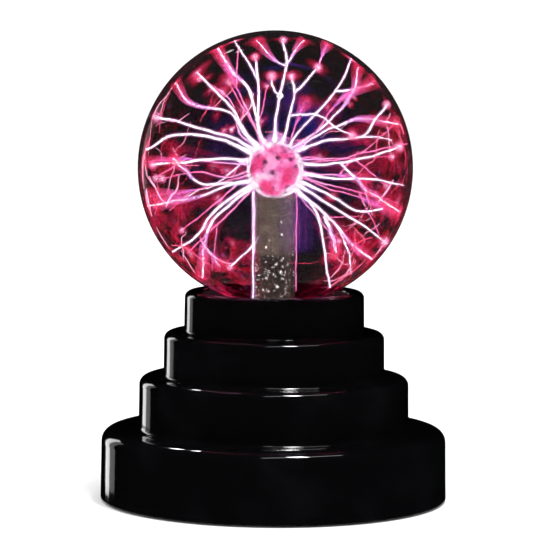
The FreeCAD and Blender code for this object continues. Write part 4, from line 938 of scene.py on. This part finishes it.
def plumes(count=40):
    """Broad dim trumpets of red gas that fan out from the middle of the globe to the glass."""
    fans = Mould()
    for _ in range(count):
        way = random_way(-0.85, 0.45)
        if abs(way.y) > 0.8 or way.y < 0.1 and abs(way.x) < 0.35:
            continue
        side = any_side(way)
        begin = rng.uniform(0.35, 0.6)
        wide = rng.uniform(1.6, 4.2) * MM
        bow = rng.uniform(-0.12, 0.12)
        path, radii, glows = [], [], []
        for step in range(9):
            share = step / 8
            reach = (begin + (0.93 - begin) * share) * GAS_R
            path.append(CENTRE + (way + side * bow * share * share).normalized() * reach)
            radii.append(0.3 * MM + wide * share ** 1.3)
            glows.append(0.25 + 0.75 * share)
        for inner in (1.0, 0.8, 0.6, 0.4):
            fans.tube(path, [radius * inner for radius in radii], glows, 12)
    return fans


def sphere_of(radius, across, around, glow_of):
    """A ball about the globe's centre whose glow follows the direction."""
    shell = Mould()
    shell.ball(CENTRE, radius, 1.0, across, around)
    shell.glow = [glow_of((point - CENTRE).normalized()) for point in shell.points]
    return shell


def haze_density(way):
    """Haze lies thick round the sides and low down, thin before and behind the electrode and on top."""
    flat = max(math.hypot(way.x, way.y), 0.15)
    window = limited((abs(way.y) / flat - 0.50) / 0.38)
    side_window = limited((abs(way.x) - 0.8) / 0.2)
    low = limited((0.45 - way.z) / 0.8)
    low_left = limited((-0.06 - way.x) / 0.15) * limited((-0.45 - way.z) / 0.2)
    window *= 1 - 0.75 * low_left
    return (1 - window) * (1 - 0.3 * side_window) * (0.05 + 0.95 * low)


def haze_finish():
    finish = Finish("glass_haze")
    density = finish.marked("glow")
    patches = finish.noise(0.013, 4.0, 0.58, warp=1.6).between(0.52, 0.62)
    wisps = finish.noise(0.0045, 4.0, 0.6, warp=2.2).between(0.54, 0.70)
    tone = finish.noise(0.014, 2.0).between(0.3, 0.7)
    look = finish.ramp(
        tone * 0.6 + wisps * 0.4,
        (0.0, (0.70, 0.03, 0.02)),
        (0.25, (0.60, 0.0, 0.03)),
        (0.5, (0.85, 0.01, 0.09)),
        (0.7, (1.0, 0.12, 0.32)),
        (1.0, (0.60, 0.20, 0.95)),
    )
    return finish.shine(
        **UNLIT,
        Alpha=density * (patches * 0.28 + wisps * 0.20) + 0.001,
        Emission_Color=look,
        Emission_Strength=16.0,
    )


def dusk_density(way):
    """Dusk gathers high and in the middle."""
    return limited(0.5 + way.z) * (1 - 0.8 * abs(way.x))


def dusk_finish():
    """Navy and violet twilight in the middle of the globe."""
    finish = Finish("inner_dusk")
    density = finish.marked("glow")
    cloud = finish.noise(0.014, 4.0, 0.55, warp=0.8).between(0.50, 0.72)
    tone = finish.noise(0.010, 2.0).between(0.35, 0.65)
    return finish.shine(
        **UNLIT,
        Alpha=density * cloud * 0.12 + 0.001,
        Emission_Color=finish.blend(tone, (0.04, 0.03, 0.55), (0.30, 0.06, 0.65)),
        Emission_Strength=12.0,
    )


def fill_globe():
    discharge = Discharge()
    main_arcs(discharge)
    all_round_arcs(discharge)
    blots(discharge)
    discharge.cores.piece("streamers", streamer_core())
    discharge.sheaths.gas(
        "streamer_sheaths", "streamer_sheath", 0.13, 18.0,
        (0.0, (0.7, 0.02, 0.2)), (0.4, (0.85, 0.14, 0.6)), (0.9, (0.65, 0.30, 1.0)),
    )
    discharge.flares.gas(
        "streamer_flares", "streamer_flare", 0.42, 14.0,
        (0.0, (0.75, 0.0, 0.04)), (0.3, (1.0, 0.05, 0.16)), (0.6, (0.9, 0.16, 0.55)),
        (1.0, (0.5, 0.2, 0.95)),
        grain=0.0016,
    )
    discharge.marks.gas(
        "glass_marks", "glass_mark", 1.15, 14.0,
        (0.0, (0.7, 0.0, 0.04)), (0.35, (1.0, 0.04, 0.16)), (0.7, (1.0, 0.35, 0.6)),
        (1.0, (1.0, 0.85, 0.95)),
    )
    discharge.beads.gas(
        "arc_beads", "arc_bead", 0.75, 15.0,
        (0.0, (1.0, 0.08, 0.30)), (0.3, (1.0, 0.32, 0.6)), (0.7, (1.0, 0.88, 0.97)),
        grain=0.003,
    )
    creepers().gas(
        "glass_threads", "glass_thread", 2.6, 13.0,
        (0.0, (0.8, 0.01, 0.05)), (0.3, (1.0, 0.10, 0.22)), (0.6, (1.0, 0.45, 0.7)),
        grain=0.002,
    )
    plumes().gas(
        "red_plumes", "red_plume", 0.028, 17.0,
        (0.0, (0.25, 0.04, 0.5)), (0.4, (0.8, 0.02, 0.18)), (0.9, (0.85, 0.01, 0.05)),
        grain=0.0035, grain_low=0.42, grain_high=0.62,
    )
    sphere_of(SKIN_R, 40, 64, haze_density).piece("glass_haze", haze_finish())
    dusk = Mould()
    for radius in (15.0, 20.0, 25.0, 30.0):
        dusk.join(sphere_of(radius * MM, 20, 28, dusk_density))
    dusk.piece("inner_dusk", dusk_finish())


def electrode():
    """The bright ball, its pale halo and the crown of light behind its top."""
    ball = Mould()
    ball.ball(BULB_CENTRE, BULB_R + 0.05 * MM, 0.0, 26, 36)
    # The glow stored on the ball is partly painted light: a bright rim where the ball is seen edge-on from
    # the front and back; it is also brighter at the lower corners and mottled at random
    for i, point in enumerate(ball.points):
        way = (point - BULB_CENTRE).normalized()
        bump = noise.noise(way * 2.6 + Vector((5.0, 2.0, 9.0)))
        side = max(0.0, 1 - abs(way.y) * 1.45)
        low_corner = max(0.0, -way.z) * max(0.0, abs(way.x) - 0.30) * 1.6
        ball.glow[i] = limited(side * 1.6 + low_corner + bump * 0.35)
    ball.piece("electrode_glow", electrode_finish(), "glass_stem")
    halo = Mould()
    for step, value in ((0.25, 0.8), (0.6, 0.6), (1.2, 0.4), (2.0, 0.2)):
        halo.ball(BULB_CENTRE, BULB_R + step * MM, value, 20, 28)
    halo.gas(
        "electrode_halo", "electrode_halo", 0.07, 16.0,
        (0.0, (0.6, 0.02, 0.3)), (0.4, (0.9, 0.12, 0.5)), (1.0, (1.0, 0.62, 0.9)),
        grain=0.005,
        slot="glass_stem",
    )
    crown = Mould()
    tufts = ((0.2, 2.6, 8.2, 3.0), (1.9, 2.8, 7.4, 2.0), (-1.7, 2.8, 7.6, 2.0))
    for across, back, rise, size in tufts:
        for share, value in ((1.0, 0.25), (0.8, 0.4), (0.6, 0.6), (0.4, 1.0)):
            crown.ball(BULB_CENTRE + Vector((across, back, rise)) * MM, size * share * MM, value, 10, 14)
    crown.gas(
        "electrode_crown", "electrode_crown", 0.35, 15.0,
        (0.0, (0.8, 0.2, 0.8)), (0.5, (1.0, 0.5, 0.9)), (1.0, (1.0, 0.9, 1.0)),
        grain=0.003,
        slot="glass_stem",
    )


def wool_column():
    """The core of steel wool: nearly smooth near the ball, crumpled like foil lower down."""
    column = Mould()
    around = 56
    top = BULB_CENTRE.z - BULB_R * 0.98
    folds_from, folds_grow = BULB_CENTRE.z - 22.0 * MM, 3.0 * MM

    def strand(share, turn):
        height = WOOL_LOW.z + (top - WOOL_LOW.z) * share
        crumpled = limited((folds_from - height) / folds_grow)
        here = about_axis(turn, WOOL_R, height)
        fold = noise.noise(here * 900) * 0.30 + noise.noise(here * 420) * 0.35
        dent = 0.12 + 0.10 * noise.noise(here * 800) + crumpled * abs(fold) * 1.5
        return about_axis(turn, WOOL_R - dent * MM, height)

    rows = ring_rows(110, around, strand)
    column.grid(rows, [[0.0] * around for _ in rows])
    column.faces.append(tuple(range(around - 1, -1, -1)))
    last = len(column.points) - around
    column.faces.append(tuple(range(last, last + around)))
    column.piece("steel_wool_column", wool_finish(), "steel_wool_core", ("steel_wool_core",))


def violet_veil():
    """Dim violet walls of gas round the stem, brightest on its right."""
    rises, around = 12, 28
    veil = Mould()
    for radius, value in ((7.2, 0.9), (9.0, 0.8), (10.8, 0.6), (12.4, 0.35)):

        def wall(share, turn):
            return about_axis(turn, radius * MM, BULB_CENTRE.z - (7.0 + 16.5 * share) * MM)

        def density(share, turn):
            ends = math.sin(math.pi * min(1.0, share * 0.97 + 0.03)) ** 0.35
            return value * max(0.0, math.cos(turn)) ** 0.6 * ends

        veil.grid(ring_rows(rises, around, wall), ring_rows(rises, around, density))
    veil.gas(
        "violet_veil", "violet_veil", 0.09, 14.0,
        (0.0, (0.10, 0.03, 0.5)), (0.5, (0.28, 0.06, 0.55)), (1.0, (0.75, 0.10, 0.5)),
        grain=0.006,
        slot="glass_stem",
    )


def foil_glints(count=130):
    """Painted glints: glowing specks for light caught on the foil, and four on the smooth wool above it."""
    glints = Mould()
    for _ in range(count):
        turn = rng.uniform(0, math.tau)
        if math.cos(turn) > 0.2 and rng.random() < 0.45:
            continue
        drop = 23.0 + 12.5 * rng.random() ** 0.85
        size = rng.choice((0.10, 0.14, 0.18, 0.26))
        spot = about_axis(turn, STEM_R - 0.25 * MM, BULB_CENTRE.z - drop * MM)
        tilt = random_vector(-1, 1).normalized()
        glints.ball(spot, size * MM, rng.uniform(0.4, 1.0), 5, 7, (tilt, 0.35))
    skin = 5.55                            # just inside the stem's glass, in mm
    for across, drop, size in ((1.7, 14.3, 0.26), (1.9, 17.8, 0.36), (-1.6, 19.5, 0.22), (-2.4, 21.4, 0.3)):
        spot = BULB_CENTRE + Vector((across, -math.sqrt(skin ** 2 - across ** 2), -drop)) * MM
        glints.ball(spot, size * MM, 0.9, 8, 10)
    glints.gas(
        "foil_glints", "foil_glint", 3.0, 13.0,
        (0.0, (0.35, 0.33, 0.30)), (0.5, (0.8, 0.78, 0.74)), (1.0, (1.0, 1.0, 0.97)),
        grain=0.001,
        slot="steel_wool_core",
    )


def stem_arcs():
    """Arcs that run down the stem's glass to the collar, given as (degrees round, width, heat, reach)."""
    lines, sheath = Mould(), Mould()
    runs = (
        (186, 0.30, 0.75, 1.0), (197, 0.20, 0.5, 0.6), (-8, 0.16, 0.3, 0.9), (80, 0.28, 0.7, 0.9),
        (120, 0.22, 0.5, 0.8),
    )
    for degrees, width, heat, share in runs:
        turn = math.radians(degrees)
        corners = []
        for step in range(7):
            height = BULB_CENTRE.z - BULB_R * 0.75 - step * 5.2 * MM * share
            here = turn + 0.12 * math.sin(step * 2.1 + turn * 3)
            reach = STEM_R + 0.45 * MM
            corners.append(about_axis(here, reach, height))
        path = smooth_path(corners, wander=0.12 * MM)
        last = len(path) - 1
        lines.tube(path, [width * MM * (1 - 0.3 * i / last) for i in range(last + 1)], [heat] * (last + 1), 6)
        sheath.tube(path, [width * 2.4 * MM] * (last + 1), [heat] * (last + 1), 6)
    lines.piece("stem_arcs", bpy.data.materials["streamer_core"], "glass_stem")
    sheath.piece("stem_arc_sheaths", bpy.data.materials["streamer_sheath"], "glass_stem")


# ---- finishes onto the carried-over parts ----
def dress_parts():
    steel = metal("plated_steel")
    satin = moulded_satin("moulded_satin")
    looks = {
        "base_shell": moulded_gloss("polished_black", (0.0015, 0.0015, 0.0018)),
        "bottom_cover": satin,
        "battery_door": moulded_satin("door_satin", grain=0.0003),
        "neck_collar": satin,
        "jack_housing": moulded_satin("jack_black", (0.016, 0.016, 0.017), 0.0002),
        "switch_knob": moulded_satin("knob_black", (0.010, 0.010, 0.011), 0.0002),
        "rubber_feet": rubber("foot_rubber"),
        "globe_gasket": rubber("gasket_rubber", (0.010, 0.010, 0.011)),
        "neck_sealant": rubber("silicone_sealant", (0.62, 0.61, 0.58)),
        "globe": globe_glass(),
        "glass_stem": stem_glass(),
        "exhaust_tip": clear_glass("tip_glass"),
        "collar_screws": steel,
        "cover_screws": metal("blackened_screw", (0.10, 0.10, 0.105), 0.32),
        "board_screws": steel,
        "heat_sink_screw": steel,
        "battery_contacts": metal("nickel_strip", (0.68, 0.66, 0.62), 0.20, (1.0, 0.1, 1.0)),
        "battery_springs": metal("spring_wire", (0.66, 0.66, 0.68), 0.22),
        "circuit_board": circuit_board_finish("circuit_board"),
        "transformer_core": moulded_satin("ferrite", (0.030, 0.030, 0.033), 0.0005),
        "transformer_bobbin": moulded_satin("bobbin_nylon", (0.62, 0.58, 0.46), 0.0004),
        "primary_winding": wound_wire("copper_winding", (0.75, 0.30, 0.12), 0.0008),
        "high_voltage_coil": wound_wire("taped_coil", (0.85, 0.55, 0.10), 0.0011),
        "heat_sink": metal("extruded_aluminium", (0.72, 0.73, 0.74), 0.34, (1.0, 1.0, 0.08)),
        "transistor": moulded_satin("epoxy_black", (0.02, 0.02, 0.021), 0.0002),
        "electrolytic_capacitors": banded("capacitor_sleeve", (0.015, 0.03, 0.16), (0.6, 0.62, 0.66), 0.009),
        "film_capacitor": banded("film_capacitor_dip", (0.40, 0.07, 0.025), (0.46, 0.09, 0.03), 0.012),
        "resistors": banded("resistor_bands", (0.60, 0.47, 0.30), (0.30, 0.03, 0.02), 0.0022),
        "jack_pin": metal("pin_brass", (0.75, 0.62, 0.38), 0.16),
        "switch_case": metal("switch_frame", (0.58, 0.58, 0.60), 0.26),
        "switch_base": moulded_satin("switch_phenolic", (0.16, 0.07, 0.03), 0.0003),
        "high_voltage_lead": lead_sheath("silicone_lead", (0.60, 0.05, 0.03)),
        "battery_lead_red": lead_sheath("red_lead", (0.55, 0.012, 0.010)),
        "battery_lead_black": lead_sheath("black_lead", (0.012, 0.012, 0.012)),
    }
    for name, look in looks.items():
        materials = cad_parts[name].data.materials
        if materials:
            for index in range(len(materials)):
                materials[index] = look
        else:
            materials.append(look)


set_camera()
set_stage()
dress_parts()
fill_globe()
electrode()
wool_column()
violet_veil()
foil_glints()
stem_arcs()
